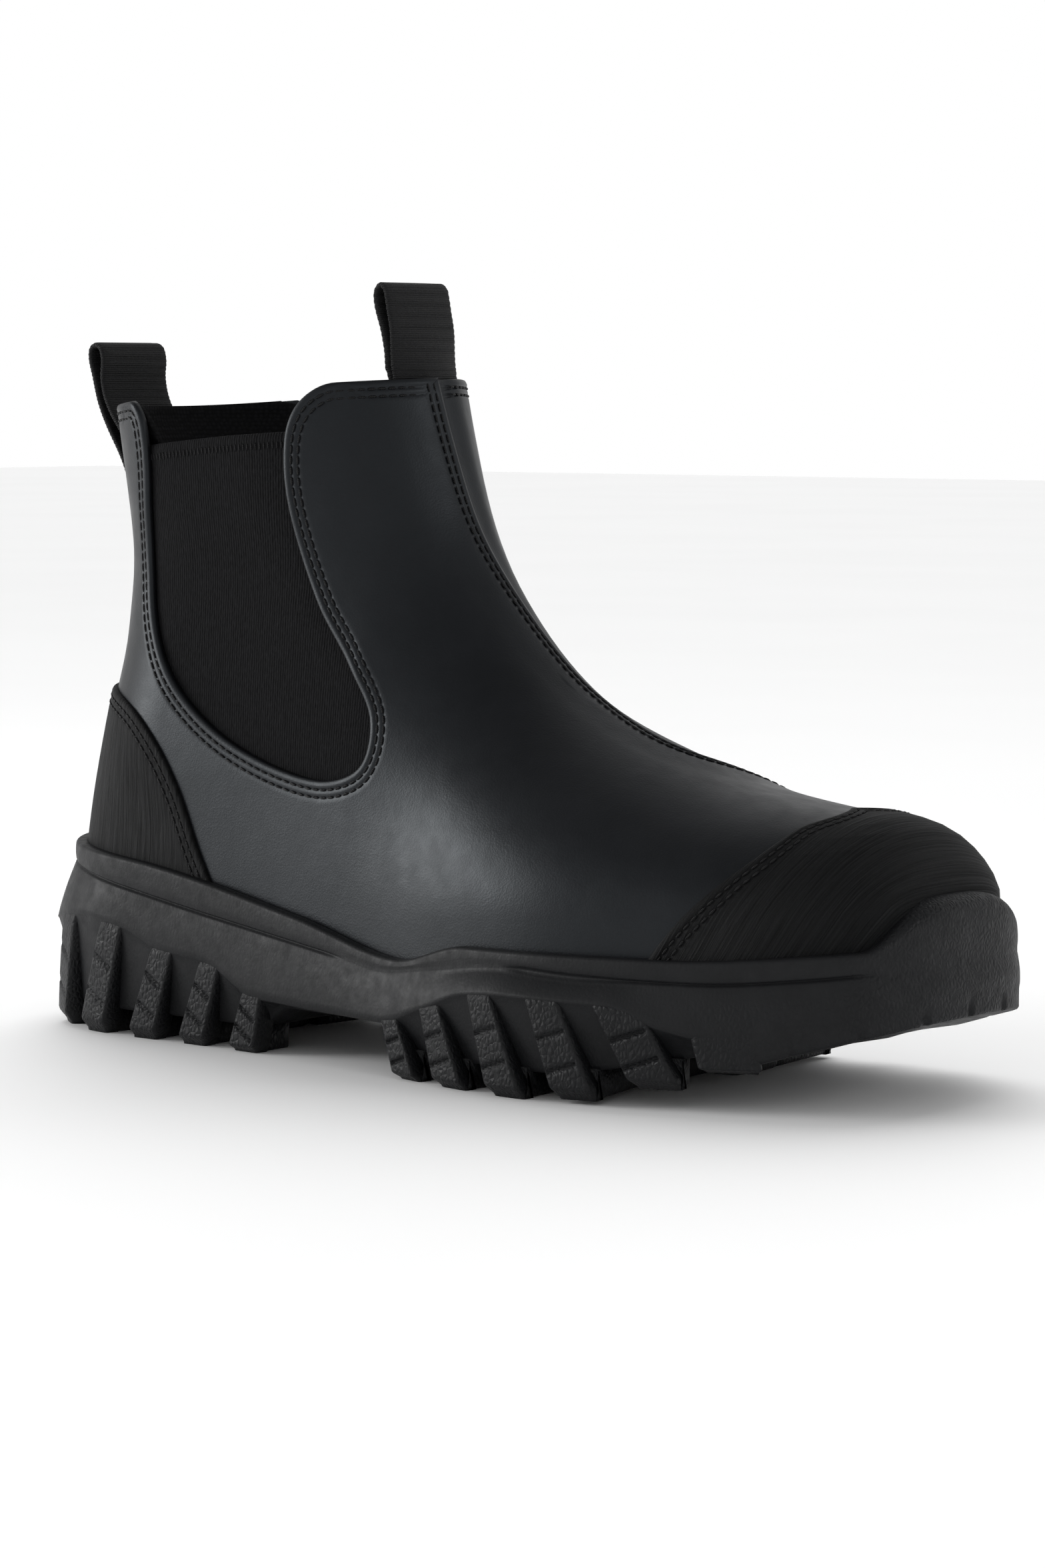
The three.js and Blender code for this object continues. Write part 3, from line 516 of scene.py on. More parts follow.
# %% Floor
floor_finish = Finish("pale_floor", (0.92, 0.92, 0.92), 0.7)
tint = floor_finish.noise(floor_finish.place(), 3, 2)
floor_finish.colour(tint, 0.2, 0.8, (0.93, 0.93, 0.93), (0.96, 0.96, 0.96))
floor_mesh = bpy.data.meshes.new("studio_floor")
FLOOR_HALF = 6.0
floor_corners = [(FLOOR_HALF * x, FLOOR_HALF * y, 0) for x, y in ((-1, -1), (1, -1), (1, 1), (-1, 1))]
floor_mesh.from_pydata(floor_corners, [], [(0, 1, 2, 3)])
floor = bpy.data.objects.new("studio_floor", floor_mesh)
scene.collection.objects.link(floor)
floor_mesh.materials.append(floor_finish.material)

# %% [markdown]
# ## From points to a piece
# A piece is a closed mesh with its place in its vertices. `piece` makes one from millimetre points, hands
# it to the CAD body it belongs to unless it has a hinge, and names the CAD nodes that it stands for. Those
# are hidden, and still carry the collision. Rows of points are joined by quads, which most pieces of the boot
# need, so that is a helper too.

# %% Piece helper


def piece(name, points, faces, finish, body="boot", stands_for=(), maps=None, attributes=None,
          hinge=None):
    """Makes a smooth closed piece. points are in mm; maps is the piece's own UV map, one pair for each point.

    hinge is two points in mm, of which only their presence counts: such a piece stays in place, and body is
    not read.
    """
    mesh = bpy.data.meshes.new(name)
    mesh.from_pydata((np.asarray(points, float) * MM).tolist(), [], [tuple(int(i) for i in f) for f in faces])
    mesh.update()
    if maps is not None:
        layer = mesh.uv_layers.new(name="cut_mm")
        corners = np.empty(len(mesh.loops), dtype=np.int32)
        mesh.loops.foreach_get("vertex_index", corners)
        layer.data.foreach_set("uv", np.asarray(maps, np.float32)[corners].ravel())
    for key, values in (attributes or {}).items():
        mesh.attributes.new(key, "FLOAT", "POINT").data.foreach_set("value", np.asarray(values, np.float32))
    mesh.polygons.foreach_set("use_smooth", [True] * len(mesh.polygons))
    mesh.materials.append(finish.material if isinstance(finish, Finish) else finish)
    made = bpy.data.objects.new(name, mesh)
    scene.collection.objects.link(made)
    if hinge:
        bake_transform(made)
    else:
        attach(made, body)
    if stands_for:
        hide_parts(*stands_for)
    print(f"{name}: {len(mesh.vertices)} points, {len(mesh.polygons)} faces")
    return made


def strip(low, high, closed=True):
    """Quads between two equally long index rows."""
    low, high = list(low), list(high)
    count = len(low) if closed else len(low) - 1
    return [(low[i], low[(i + 1) % len(low)], high[(i + 1) % len(low)], high[i]) for i in range(count)]


def tube(rows, width):
    """Quads that join equally wide rings of points, stored one after the other."""
    rings = [range(k * width, (k + 1) * width) for k in range(rows)]
    return [face for low, high in zip(rings, rings[1:]) for face in strip(low, high)]


def lids(rows, width):
    """The two end faces of such a tube."""
    last_ring = (rows - 1) * width
    return [tuple(range(width))[::-1], tuple(range(last_ring, last_ring + width))]


# %% Smooth outlines


def bend(points, step=1.6):
    """A smooth curve through points of any dimension, with a point about every step."""
    p = np.asarray(points, float)
    padded_p = np.vstack([2 * p[0] - p[1], p, 2 * p[-1] - p[-2]])
    knots = np.concatenate([[0], np.cumsum(np.linalg.norm(np.diff(padded_p, axis=0), axis=1) ** 0.5)])
    out = []
    for i in range(1, len(padded_p) - 2):
        p0, p1, p2, p3 = padded_p[i - 1:i + 3]
        t0, t1, t2, t3 = knots[i - 1:i + 3]
        count = max(int(np.linalg.norm(p2 - p1) / step + 0.5), 1)
        for t in t1 + (t2 - t1) * np.arange(count) / count:
            a1 = (t1 - t) / (t1 - t0) * p0 + (t - t0) / (t1 - t0) * p1
            a2 = (t2 - t) / (t2 - t1) * p1 + (t - t1) / (t2 - t1) * p2
            a3 = (t3 - t) / (t3 - t2) * p2 + (t - t2) / (t3 - t2) * p3
            b1 = (t2 - t) / (t2 - t0) * a1 + (t - t0) / (t2 - t0) * a2
            b2 = (t3 - t) / (t3 - t1) * a2 + (t - t1) / (t3 - t1) * a3
            out.append((t2 - t) / (t2 - t1) * b1 + (t - t1) / (t2 - t1) * b2)
    out.append(p[-1])
    return np.array(out)


def along(points):
    return np.concatenate([[0], np.cumsum(np.linalg.norm(np.diff(points, axis=0), axis=1))])


def even(points, step):
    """The same line with evenly spaced points."""
    run = along(points)
    count = max(int(run[-1] / step + 0.5), 2)
    return np.column_stack([np.interp(np.linspace(0, run[-1], count + 1), run, c) for c in points.T])


def on_side(points, side, step=1.6):
    """A side-view curve, laid on one side of the boot: a row of (s, t)."""
    return np.array([seat(x, z, side) for x, z in bend(points, step)])

# %% [markdown]
# ## Cutting panels
# A boot's upper is flat hide, cut to an outline, pulled over the last and sewn. Here an outline is drawn on
# the last and stepped inwards in narrow rings that round its edge and press in the seams. The rest is
# filled with triangles. That gives real thickness and real edges, which a bump could not show at the
# collar.

# %% Panel helpers
WIDE, TALL = 450.0, 150.0  # rough size of the surface, so that triangles come out evenly
EDGE_RINGS = np.array([0, 0.08, 0.24, 0.5, 0.85, 1.3, 1.8, 2.1, 2.4, 2.7, 3.1, 3.7, 4.1, 4.4, 4.7, 5.2, 6.0])
EDGE_ROUND = 0.85
SEAM_ROWS = (2.4, 4.4)  # the two rows of thread lie this far inside an edge
SEAM_DENT, SEAM_DENT_WIDTH = 0.26, 0.38
EDGE_SWELL, EDGE_SWELL_AT, EDGE_SWELL_WIDTH = 0.16, 1.45, 0.5


def inside(outline, points):
    """Even-odd test of points against a closed outline."""
    found = np.zeros(len(points), bool)
    a, b = outline, np.roll(outline, -1, axis=0)
    for (x0, y0), (x1, y1) in zip(a, b):
        if y0 == y1:
            continue
        crosses = (points[:, 1] >= min(y0, y1)) & (points[:, 1] < max(y0, y1))
        found ^= crosses & (points[:, 0] < x0 + (points[:, 1] - y0) * (x1 - x0) / (y1 - y0))
    return found


def nearest(points, targets, block=2000):
    """Distance from each point to the nearest target point."""
    out = np.empty(len(points))
    for i in range(0, len(points), block):
        d = points[i:i + block, None, :] - targets[None]
        out[i:i + block] = np.sqrt((d * d).sum(-1)).min(1)
    return out


def step_in(q, move):
    """Moves outline points (s, t) towards the inside by move mm, measured on the surface."""
    here = surface_frame(q[:, 0], q[:, 1])
    tangent = unit(np.roll(here[0], -1, axis=0) - np.roll(here[0], 1, axis=0))
    return slide(q, here, np.cross(here[1], tangent) * np.asarray(move)[:, None])


def cut_panel(parts, spacing=2.8, lift=None, thickness=1.8, seams=1.0, rings=EDGE_RINGS, outline_step=1.5):
    """Points, faces and (s, t) of a panel. parts are the smooth rows of (s, t) that make its closed outline.

    The outline runs anticlockwise as seen from outside. lift(s, t, p) raises the panel's outer face.
    """
    even_parts = []
    for part in parts:
        p = surface(part[:, 0], part[:, 1])
        run = along(p)
        count = max(int(run[-1] / outline_step + 0.5), 1)
        places = np.linspace(0, run[-1], count + 1)[:-1]
        even_parts.append(np.column_stack([np.interp(places, run, c) for c in part.T]))
    q = np.vstack(even_parts)
    outline_p = surface(q[:, 0], q[:, 1])
    corners = np.cumsum([0] + [len(e) for e in even_parts[:-1]])
    run = np.concatenate([[0], np.cumsum(np.linalg.norm(np.diff(outline_p, axis=0), axis=1))])
    whole = run[-1] + np.linalg.norm(outline_p[0] - outline_p[-1])
    gap_to = np.abs(run[:, None] - run[corners][None])
    free = np.minimum(gap_to, whole - gap_to).min(1)
    scale = np.clip(free / rings[-1], 0.12, 1)
    ring_q = [q]
    for near, far_ring in zip(rings[:-1], rings[1:]):
        ring_q.append(step_in(ring_q[-1], (far_ring - near) * scale))
    core = ring_q[-1] * (WIDE, TALL)
    low, high = core.min(0), core.max(0)
    grid = np.stack(np.meshgrid(np.arange(low[0], high[0], spacing), np.arange(low[1], high[1], spacing),
                                indexing="ij"), -1).reshape(-1, 2)
    grid[:, 0] += np.where(((grid[:, 1] - low[1]) / spacing).astype(int) % 2, spacing / 2, 0)
    grid = grid[inside(core, grid)]
    grid_xyz, core_xyz = surface(*(grid / (WIDE, TALL)).T), surface(*ring_q[-1].T)
    grid = grid[nearest(grid_xyz, core_xyz) > spacing * 0.6]
    cloud = np.vstack([core, grid])
    verts, _, faces, origins, _, _ = geometry.delaunay_2d_cdt(
        [Vector(v) for v in cloud], [], [list(range(len(core)))], 1, 1e-5)
    index, extra = {}, []
    base = len(q) * (len(rings) - 1)
    for i, came_from in enumerate(origins):
        known = [o for o in came_from if o < len(cloud)]
        if known:
            index[i] = base + known[0]
        else:
            index[i] = base + len(cloud) + len(extra)
            extra.append(np.array(verts[i]) / (WIDE, TALL))
    all_q = np.vstack(ring_q[:-1] + [cloud / (WIDE, TALL)] + ([np.array(extra)] if extra else []))
    front_faces = [tuple(index[i] for i in f) for f in faces] + tube(len(rings), len(q))
    p, n, _, _ = surface_frame(all_q[:, 0], all_q[:, 1])
    inset = np.full(len(all_q), rings[-1] * 2)
    for k, d in enumerate(rings):
        inset[k * len(q):(k + 1) * len(q)] = d * scale
    height = np.where(inset < EDGE_ROUND, -EDGE_ROUND * (1 - np.sqrt(np.maximum(
        1 - (1 - np.minimum(inset / EDGE_ROUND, 1)) ** 2, 0))), 0)
    for row in SEAM_ROWS:
        height -= seams * SEAM_DENT * np.exp(-((inset - row) / SEAM_DENT_WIDTH) ** 2)
    height += seams * EDGE_SWELL * np.exp(-((inset - EDGE_SWELL_AT) / EDGE_SWELL_WIDTH) ** 2)
    raised = np.zeros(len(all_q)) if lift is None else lift(all_q[:, 0], all_q[:, 1], p)
    front_p = p + n * (height + raised)[:, None]
    back_p = p + n * (raised - thickness)[:, None]
    count = len(all_q)
    back_faces = [tuple(count + i for i in f[::-1]) for f in front_faces]
    wall = strip(range(count, count + len(q)), range(len(q)))
    return np.vstack([front_p, back_p]), front_faces + back_faces + wall, np.vstack([all_q, all_q])


def arc_t(x):
    """t of the point of the front ridge at length x."""
    i = np.argmin(np.abs(front_x - x))
    return 1 - front_fine[i] / front_fine[-1]


def s_at(t, y_wanted, side, near=0.0):
    """s where the row t is y_wanted mm off the middle, close to the back (near=0) or the front (near=0.5)."""
    low, high = 0.0, 0.25
    for _ in range(30):
        middle = (low + high) / 2
        s = near + middle * (-side if near == 0 else side)
        x, y, z = surface(s, t)
        low, high = (middle, high) if abs(y - ridge_y(x)) < y_wanted else (low, middle)
    return near + low * (-side if near == 0 else side)


# %% [markdown]
# ## Vamp, quarters and the front seam
# One hide makes the vamp and the outside quarter. The inside quarter slips under it along a seam that
# starts at the collar, follows the crest of the instep and turns down the inside of the foot. Two rows of
# thread hold the lap.

# %% Outlines of the leather
GORE = [(-101.2, 170.4), (-96.8, 169.2), (-93.6, 165.4), (-92.4, 159), (-92.3, 153), (-94.6, 126), (-91, 109),
        (-82, 95), (-66, 83), (-43, 74.7), (-25, 73), (-14.5, 77.5), (-13, 89), (-22, 103), (-33, 117), (-40, 131),
        (-44, 146), (-44.8, 156.5), (-44.0, 163.8), (-41.4, 169.4), (-36.8, 173.6), (-31.5, 175.6)]
SEAM_PLAN = [(-18.9, -1.2), (-8, 2.5), (7, 6), (28, 7.8), (50, 6.5), (58, 9.5), (64.5, 19),
             (68.5, 30), (71.5, 40)]
LAP = 5.0


def seam_point(x, y):
    """The surface point over the plan point (x, y) of the instep, as (s, t)."""
    return settle((x, y), (0, 1), grid_p[..., 2] > feather_line(grid_p[..., 0]) + 1, 8)


seam_q = np.array([seam_point(x, y) for x, y in bend(SEAM_PLAN, 4)])
seam_q[0, 1] = 1.0
last_s = seam_q[-1, 0]
seam_q = np.vstack([seam_q, [[last_s + 0.002, 0.06], [last_s + 0.003, 0.0]]])
seam_q = bend(seam_q, 0.01)
seam_p = surface(seam_q[:, 0], seam_q[:, 1])
print("seam s range", seam_q[:, 0].min().round(3), seam_q[:, 0].max().round(3), "length",
      along(seam_p)[-1].round(1))

gore_q = {}
for side in (-1, 1):
    row = on_side(GORE, side)
    row[0, 1] = row[-1, 1] = 1.0
    row[:, 0] = row[:, 0] % 1
    gore_q[side] = row
print("gore outline points", len(gore_q[-1]))


def straight(a, b, count=80):
    return np.linspace(a, b, count)


# %% Outside panel


def near_seam(p):
    return nearest(p, seam_p)


outside_parts = [straight((0.0, 0.0), (seam_q[-1, 0], 0.0), 300), seam_q[::-1],
                 straight((seam_q[0, 0], 1.0), gore_q[-1][-1]), gore_q[-1][::-1],
                 straight(gore_q[-1][0], (0.0, 1.0)), straight((0.0, 1.0), (0.0, 0.0))]
points, faces, q = cut_panel(outside_parts, lift=lambda s, t, p: 0.8 * (1 - ramp(1, 14, near_seam(p))))
piece("vamp_and_outside_quarter_hide", points, faces, smooth_leather,
      stands_for=["vamp_and_outside_quarter"])

# %% Inside panel
lap_q = seam_q.copy()
lap_q[:, 0] -= LAP / np.maximum(np.linalg.norm(surface_frame(seam_q[:, 0], seam_q[:, 1])[2], axis=-1), 150)
inside_parts = [straight((lap_q[-1, 0], 0.0), (1.0, 0.0), 200), straight((1.0, 0.0), (1.0, 1.0)),
                straight((1.0, 1.0), gore_q[1][0]), gore_q[1],
                straight(gore_q[1][-1], (lap_q[0, 0], 1.0)), lap_q]
points, faces, q = cut_panel(
    inside_parts, lift=lambda s, t, p: -1.15 * (1 - ramp(3, 10, near_seam(p))))
piece("inside_quarter_hide", points, faces, smooth_leather, stands_for=["inside_quarter"])

# %% [markdown]
# ## Toe and heel overlays
# Two tough brushed overlays are glued and double-stitched over the hide where it scuffs. Their streaks
# follow the brushing direction, so each has a map in millimetres: u runs along the streaks and v across
# them.

# %% Overlay outlines
TOE_EDGE = [(81, 33), (83, 36.5), (88, 43), (98, 54), (104, 61), (107.2, 66.8)]
HEEL_EDGE = [(-65.2, 38), (-66, 40), (-72.5, 52), (-80, 68), (-88.5, 80), (-98, 88), (-112, 92.5), (-124, 93.4)]


def edge_row(points, side, end_s, end_t):
    """A side-view edge from the sole up, finished at a chosen point of the middle line."""
    row = on_side(points, side, 3)
    row[:, 0] = row[:, 0] if end_s == 0.5 else (row[:, 0] + 0.5) % 1 - 0.5
    row = np.vstack([[row[0, 0], 0.0], row[row[:, 1] > 0.02], [end_s, end_t]])
    return bend(row, 0.012)


toe_t = arc_t(107.8)
toe_rows = [edge_row(TOE_EDGE, side, 0.5, toe_t) for side in (-1, 1)]
heel_t = (93.6 - BACK_LOW) / (BACK_HIGH - BACK_LOW)
heel_rows = [edge_row(HEEL_EDGE, side, 0.0, heel_t) for side in (-1, 1)]
toe_parts = [straight(toe_rows[0][0], toe_rows[1][0]), np.vstack([toe_rows[1], toe_rows[0][-2::-1]])]
heel_parts = [straight(heel_rows[1][0], heel_rows[0][0]), np.vstack([heel_rows[0], heel_rows[1][-2::-1]])]


def streak_map(points, lean):
    """u along the brushed streaks and v across them, in mm. They lean with height and curl over the crest."""
    x, y, z = points.T
    v = x - lean * (z - 40) + 0.004 * (z - 40) ** 2
    return np.column_stack([z + 0.3 * y, v])


# %% Overlays
points, faces, q = cut_panel(toe_parts, lift=lambda s, t, p: np.full(len(s), 1.35), thickness=2.0, spacing=2.4)
piece("toe_overlay_hide", points, faces, brushed_leather, stands_for=["toe_overlay"],
      maps=streak_map(points, 0.55))
points, faces, q = cut_panel(heel_parts, lift=lambda s, t, p: np.full(len(s), 1.25), thickness=1.9, spacing=2.4)
piece("heel_overlay_hide", points, faces, brushed_leather, stands_for=["heel_overlay"],
      maps=np.column_stack([points[:, 2], 420 * q[:, 0]]))

# %% [markdown]
# ## Elastic side panels and backstay
# The elastic is a heavy rib knit, cut larger than its window and sewn behind the leather's edge. Its top
# edge is a woven selvedge that stands a little below the leather. The backstay covers the seam at the back.

# %% Elastic
ELASTIC_EDGE = [(-99, 157.5), (-100.5, 148), (-102, 126), (-98.5, 107), (-88.5, 90), (-69, 76.5), (-44, 68.2),
                (-20, 67), (-8, 75), (-7.5, 91), (-17, 107), (-27, 120), (-34, 134), (-38, 148), (-38.8, 162.6)]
ELASTIC_RINGS = np.array([0, 0.1, 0.3, 0.7, 1.2, 1.7, 1.95, 2.1, 2.25, 2.5, 3.2, 4.0])
SELVEDGE, SELVEDGE_GROOVE, SELVEDGE_WIDTH = 2.1, 0.30, 0.28
for side, word in ((-1, "outside"), (1, "inside")):
    low_edge = on_side(ELASTIC_EDGE, side)
    top_edge = on_side([ELASTIC_EDGE[-1], (-68, 160.4), ELASTIC_EDGE[0]], side)
    parts = [low_edge, top_edge] if side < 0 else [low_edge[::-1], top_edge[::-1]]
    for part in parts:
        part[:, 0] = part[:, 0] % 1
    points, faces, q = cut_panel(parts, lift=lambda s, t, p: np.full(len(s), -2.0), thickness=1.2, seams=0.0,
                                 rings=ELASTIC_RINGS, spacing=2.4)
    half = len(points) // 2  # the first half of the points is the outer face
    drop = nearest(points[:half], surface(top_edge[:, 0], top_edge[:, 1]))
    groove = SELVEDGE_GROOVE * np.exp(-((drop - SELVEDGE) / SELVEDGE_WIDTH) ** 2)
    points[:half] -= unit(points[:half] - points[half:]) * groove[:, None]
    piece(f"{word}_elastic_knit", points, faces, knit, stands_for=[f"{word}_elastic"])

# %% Backstay
STAY_HALF = 9.0
stay_levels = np.linspace(heel_t - 0.02, 0.985, 60)
stay_sides = [np.array([[s_at(t, STAY_HALF, side), t] for t in stay_levels]) for side in (-1, 1)]
points, faces, q = cut_panel(
    [straight(stay_sides[1][0], stay_sides[0][0], 12), stay_sides[0],
     straight(stay_sides[0][-1], stay_sides[1][-1], 12), stay_sides[1][::-1]],
    lift=lambda s, t, p: np.full(len(s), 1.1), thickness=1.1, spacing=2.0, seams=0.6,
    rings=np.array([0, 0.1, 0.3, 0.7, 1.2, 1.8, 2.1, 2.4, 2.7, 3.1]))
piece("backstay_strip", points, faces, ribbed_webbing, stands_for=["backstay"],
      maps=np.column_stack([points[:, 2], points[:, 1]]))

# %% [markdown]
# ## Lining
# The textile lining is a sleeve inside the boot. It meets the leather at the collar and dips below the
# elastic's top edge at each side. Rows and columns are enough for a sleeve, so it is a plain grid closed at
# both rims.

# %% Lining sleeve
columns, sleeve_levels = np.linspace(0, 1, 401)[:-1], np.linspace(0.0, 1.0, 56) ** 0.8
rim_t = np.ones(len(columns))
corner_x, corner_z = np.array(bend(GORE, 1.0)).T
front_part = np.arange(len(corner_x)) > len(corner_x) // 2
for side in (-1, 1):
    rim_x = surface(columns, 0.99)[:, 0]
    on_this_side = np.where(np.sin(2 * np.pi * columns) >= 0, -1, 1) == side
    for i in np.flatnonzero((rim_x > -102) & (rim_x < -31) & on_this_side):
        x = rim_x[i]
        part = front_part if x > -70 else ~front_part
        close = part & (corner_z > 158)
        order = np.argsort(corner_x[close])
        corner = np.interp(x, corner_x[close][order], corner_z[close][order]) - 1.3
        rim_z = corner if x > -43.5 or x < -93.5 else 155.5 + 0.083 * (x + 99)
        rim_t[i] = min(seat(x, rim_z, side)[1], 1.0)
in_gore = 1 - ramp(0.93, 0.965, rim_t)
s_mesh, t_mesh = np.broadcast_arrays(columns[None, :], sleeve_levels[:, None] * rim_t[None, :])
p, n, _, _ = surface_frame(s_mesh, t_mesh)
front_tail = (1 - ramp(12, 18, np.abs(p[..., 1]))) * (p[..., 0] > -60) * ramp(0.8, 0.9, t_mesh)
near_rim = ramp(0.90, 0.985, t_mesh)
depth = mix(4.9, 2.1, near_rim * (1 - in_gore[None, :])) + 2.9 * front_tail * near_rim
outer_cloth = p - n * depth[..., None]
inner_cloth = p - n * (depth + 1.2)[..., None]
count, sleeve_rows = len(columns), len(sleeve_levels)
points = np.vstack([outer_cloth.reshape(-1, 3), inner_cloth.reshape(-1, 3)])


def ring_of(k, layer=0):
    start = (layer * sleeve_rows + k) * count
    return range(start, start + count)


faces = []
for k in range(sleeve_rows - 1):
    faces += strip(ring_of(k), ring_of(k + 1)) + strip(ring_of(k + 1, 1), ring_of(k, 1))
faces += strip(ring_of(sleeve_rows - 1), ring_of(sleeve_rows - 1, 1)) + strip(ring_of(0, 1), ring_of(0))
piece("boot_lining_sleeve", points, faces, lining_cloth, stands_for=["vamp_lining", "quarter_lining"])

# %% [markdown]
# ## Pull loops
# Each loop is one length of ribbed webbing, doubled over and sewn in at both ends. The ribs run across the
# webbing and are real waves in the mesh. The part that moves is left in place, on no body. The sewn-down
# tail rides on the boot.

# %% Webbing helper
WEB_WIDTH, WEB_THICK = 25.0, 1.4


def webbing_strip(path, rib_pitch, dish, width=WEB_WIDTH, rib=0.46):
    """Points, faces and map of webbing along a side-view path (x, z). dish(i, y) bends it across, in mm of x."""
    line = even(bend(path, 0.5), 0.4)
    run = along(line)
    tangent = unit(np.gradient(line, axis=0))
    normal = np.column_stack([-tangent[:, 1], tangent[:, 0]])
    half = width / 2
    across = np.linspace(-half + 0.7, half - 0.7, 15)
    section = ([(y, 1.0) for y in across] + [(half - 0.25, 0.75), (half, 0.0), (half - 0.25, -0.75)]
               + [(y, -1.0) for y in across[::-1]]
               + [(-half + 0.25, -0.75), (-half, 0.0), (-half + 0.25, 0.75)])
    rows_p, maps = [], []
    for i, (x, z) in enumerate(line):
        wave = math.sin(math.pi * run[i] / rib_pitch)
        swell = 1 + rib / (WEB_THICK / 2) * (abs(wave) ** 0.6 - 0.6)
        for y, h in section:
            edge = abs(y) > half - 0.8
            wiggle = 0.22 * math.sin(2 * math.pi * run[i] / rib_pitch) if edge else 0.0
            off = h * WEB_THICK / 2 * (1.0 if edge else swell)
            shift = dish(i / (len(line) - 1), y)
            rows_p.append((x + normal[i, 0] * off + shift, y + math.copysign(wiggle, y) if edge else y,
                           z + normal[i, 1] * off))
            maps.append((run[i], y))
    rows, width = len(line), len(section)
    return np.array(rows_p), tube(rows, width) + lids(rows, width), np.array(maps)


def outward_faces(points, faces):
    """Turns a closed shell right side out by the sign of its volume."""
    volume = 0.0
    for f in faces:
        a = points[f[0]]
        for b, c in zip(f[1:-1], f[2:]):
            volume += np.dot(a, np.cross(points[b], points[c]))
    return faces if volume > 0 else [f[::-1] for f in faces]


# %% Rear loop
REAR_PIVOT_Z, FRONT_PIVOT = 143.0, (-22.25, 177.6)
REAR_LOOP = [(-119.9, 143.2), (-121.6, 146.5), (-124.6, 155), (-128.3, 162.9), (-131.0, 169.5), (-133.0, 176.5),
             (-134.3, 181.4), (-134.0, 184.0), (-132.4, 185.0), (-130.6, 184.2), (-129.6, 181.0), (-129.9, 176.5),
             (-129.0, 171.5), (-126.9, 166.5), (-124.2, 162.0), (-121.9, 156), (-120.2, 150), (-118.9, 145.6)]


def dish_of(amount):
    """The webbing wraps round the heel: its edges lie further forward than its middle."""
    return lambda u, y: amount(u) * (y / 12.5) ** 2


def rear_wrap(u):
    return mix(3.4, 0.35, ramp(0.0, 0.34, min(u, 1 - u)))


points, faces, maps = webbing_strip(REAR_LOOP, 2.3, dish_of(rear_wrap))
piece("rear_pull_loop_webbing", points, outward_faces(points, faces), ribbed_webbing,
      body="rear_loop", stands_for=["rear_pull_loop"], maps=maps,
      hinge=((-120.3, 0, REAR_PIVOT_Z - 1.5), (-121.5, 0, REAR_PIVOT_Z + 8)))
for layer, depth in enumerate((2.0, 3.4)):
    tail = [(float(back_edge(z)) - depth + 0.15 * layer, z) for z in np.linspace(117, 142.6, 8)]
    tail[0] = (tail[0][0] + 0.8, tail[0][1])
    points, faces, maps = webbing_strip(tail, 2.3, dish_of(lambda u: 3.2), width=WEB_WIDTH - 0.6 * layer,
                                        rib=0.12)
    piece(f"rear_loop_tail_webbing_{layer + 1}", points, outward_faces(points, faces), ribbed_webbing,
          stands_for=["rear_loop_tail"] if layer == 0 else (), maps=maps)

# %% Front loop
FRONT_LOOP = [(-24.0, 177.9), (-24.8, 182.3), (-26.6, 187), (-28.5, 191.6), (-29.6, 195.4), (-29.6, 198.4),
              (-28.2, 200.0), (-26.6, 199.0), (-25.9, 196.6), (-25.0, 192), (-23.7, 187), (-22.7, 182.3),
              (-21.9, 177.9)]


def front_wrap(u):
    return mix(-2.6, -0.8, ramp(0.0, 0.3, min(u, 1 - u)))


points, faces, maps = webbing_strip(FRONT_LOOP, 3.0, dish_of(front_wrap))
piece("front_pull_loop_webbing", points, outward_faces(points, faces), ribbed_webbing,
      body="front_loop", stands_for=["front_pull_loop"], maps=maps, hinge=((-22.9, 0, 177.4), (-23.6, 0, 184.5)))
for layer, depth in enumerate((2.6, 4.1)):
    tail = []
    for t in np.linspace(0.86, 1.0, 6):
        p, n, _, _ = surface_frame(0.5, t)
        tail.append((p[0] - n[0] * depth, p[2] - n[2] * depth))
    tail.append((-21.9 - 2.1 * layer, 178.4))
    points, faces, maps = webbing_strip(tail, 3.0, dish_of(lambda u: -2.6), width=WEB_WIDTH - 0.2, rib=0.2)
    piece(f"front_loop_tail_webbing_{layer + 1}", points, outward_faces(points, faces), ribbed_webbing,
          stands_for=["front_loop_tail"] if layer == 0 else (), maps=maps)

# %% [markdown]
# ## The outsole
# The cup sole is one rubber moulding. Its plan follows the foot, and its wall is the same profile all the
# way round, with the lip, a groove, a flare at the heel and a bumper at the toe all given by length. Such a
# part is lofted: one profile per station round the plan. The lugs are lofted over it in the same way and
# sink into it.

# %% Plan of the sole
per_side = 500
x_turn = mix(HEEL_X, TOE_X, (1 - np.cos(np.linspace(0, math.pi, per_side))) / 2)
outline = np.vstack([np.column_stack([x_turn, ridge_y(x_turn) - half_width(x_turn, SOLE_TOP, -1)]),
                     np.column_stack([x_turn, ridge_y(x_turn) + half_width(x_turn, SOLE_TOP, 1)])[::-1][1:]])
STATIONS = 720
plan = even(outline, along(outline)[-1] / STATIONS)[:STATIONS]
plan_run = along(np.vstack([plan, plan[:1]]))
plan_length = plan_run[-1]
plan_side = np.where(np.arange(STATIONS) < np.argmax(plan[:, 0]), -1, 1)


def loop_smooth(values, reach):
    """A gentle average round the loop."""
    kernel = np.hanning(2 * reach + 3)[1:-1]
    kernel /= kernel.sum()
    wrapped = np.concatenate([values[-reach:], values, values[:reach]])
    return np.convolve(wrapped, kernel, "valid")


turn = np.roll(plan, -1, axis=0) - np.roll(plan, 1, axis=0)
plan_normal = unit(np.column_stack([loop_smooth(turn[:, 1], 8), loop_smooth(-turn[:, 0], 8)]))


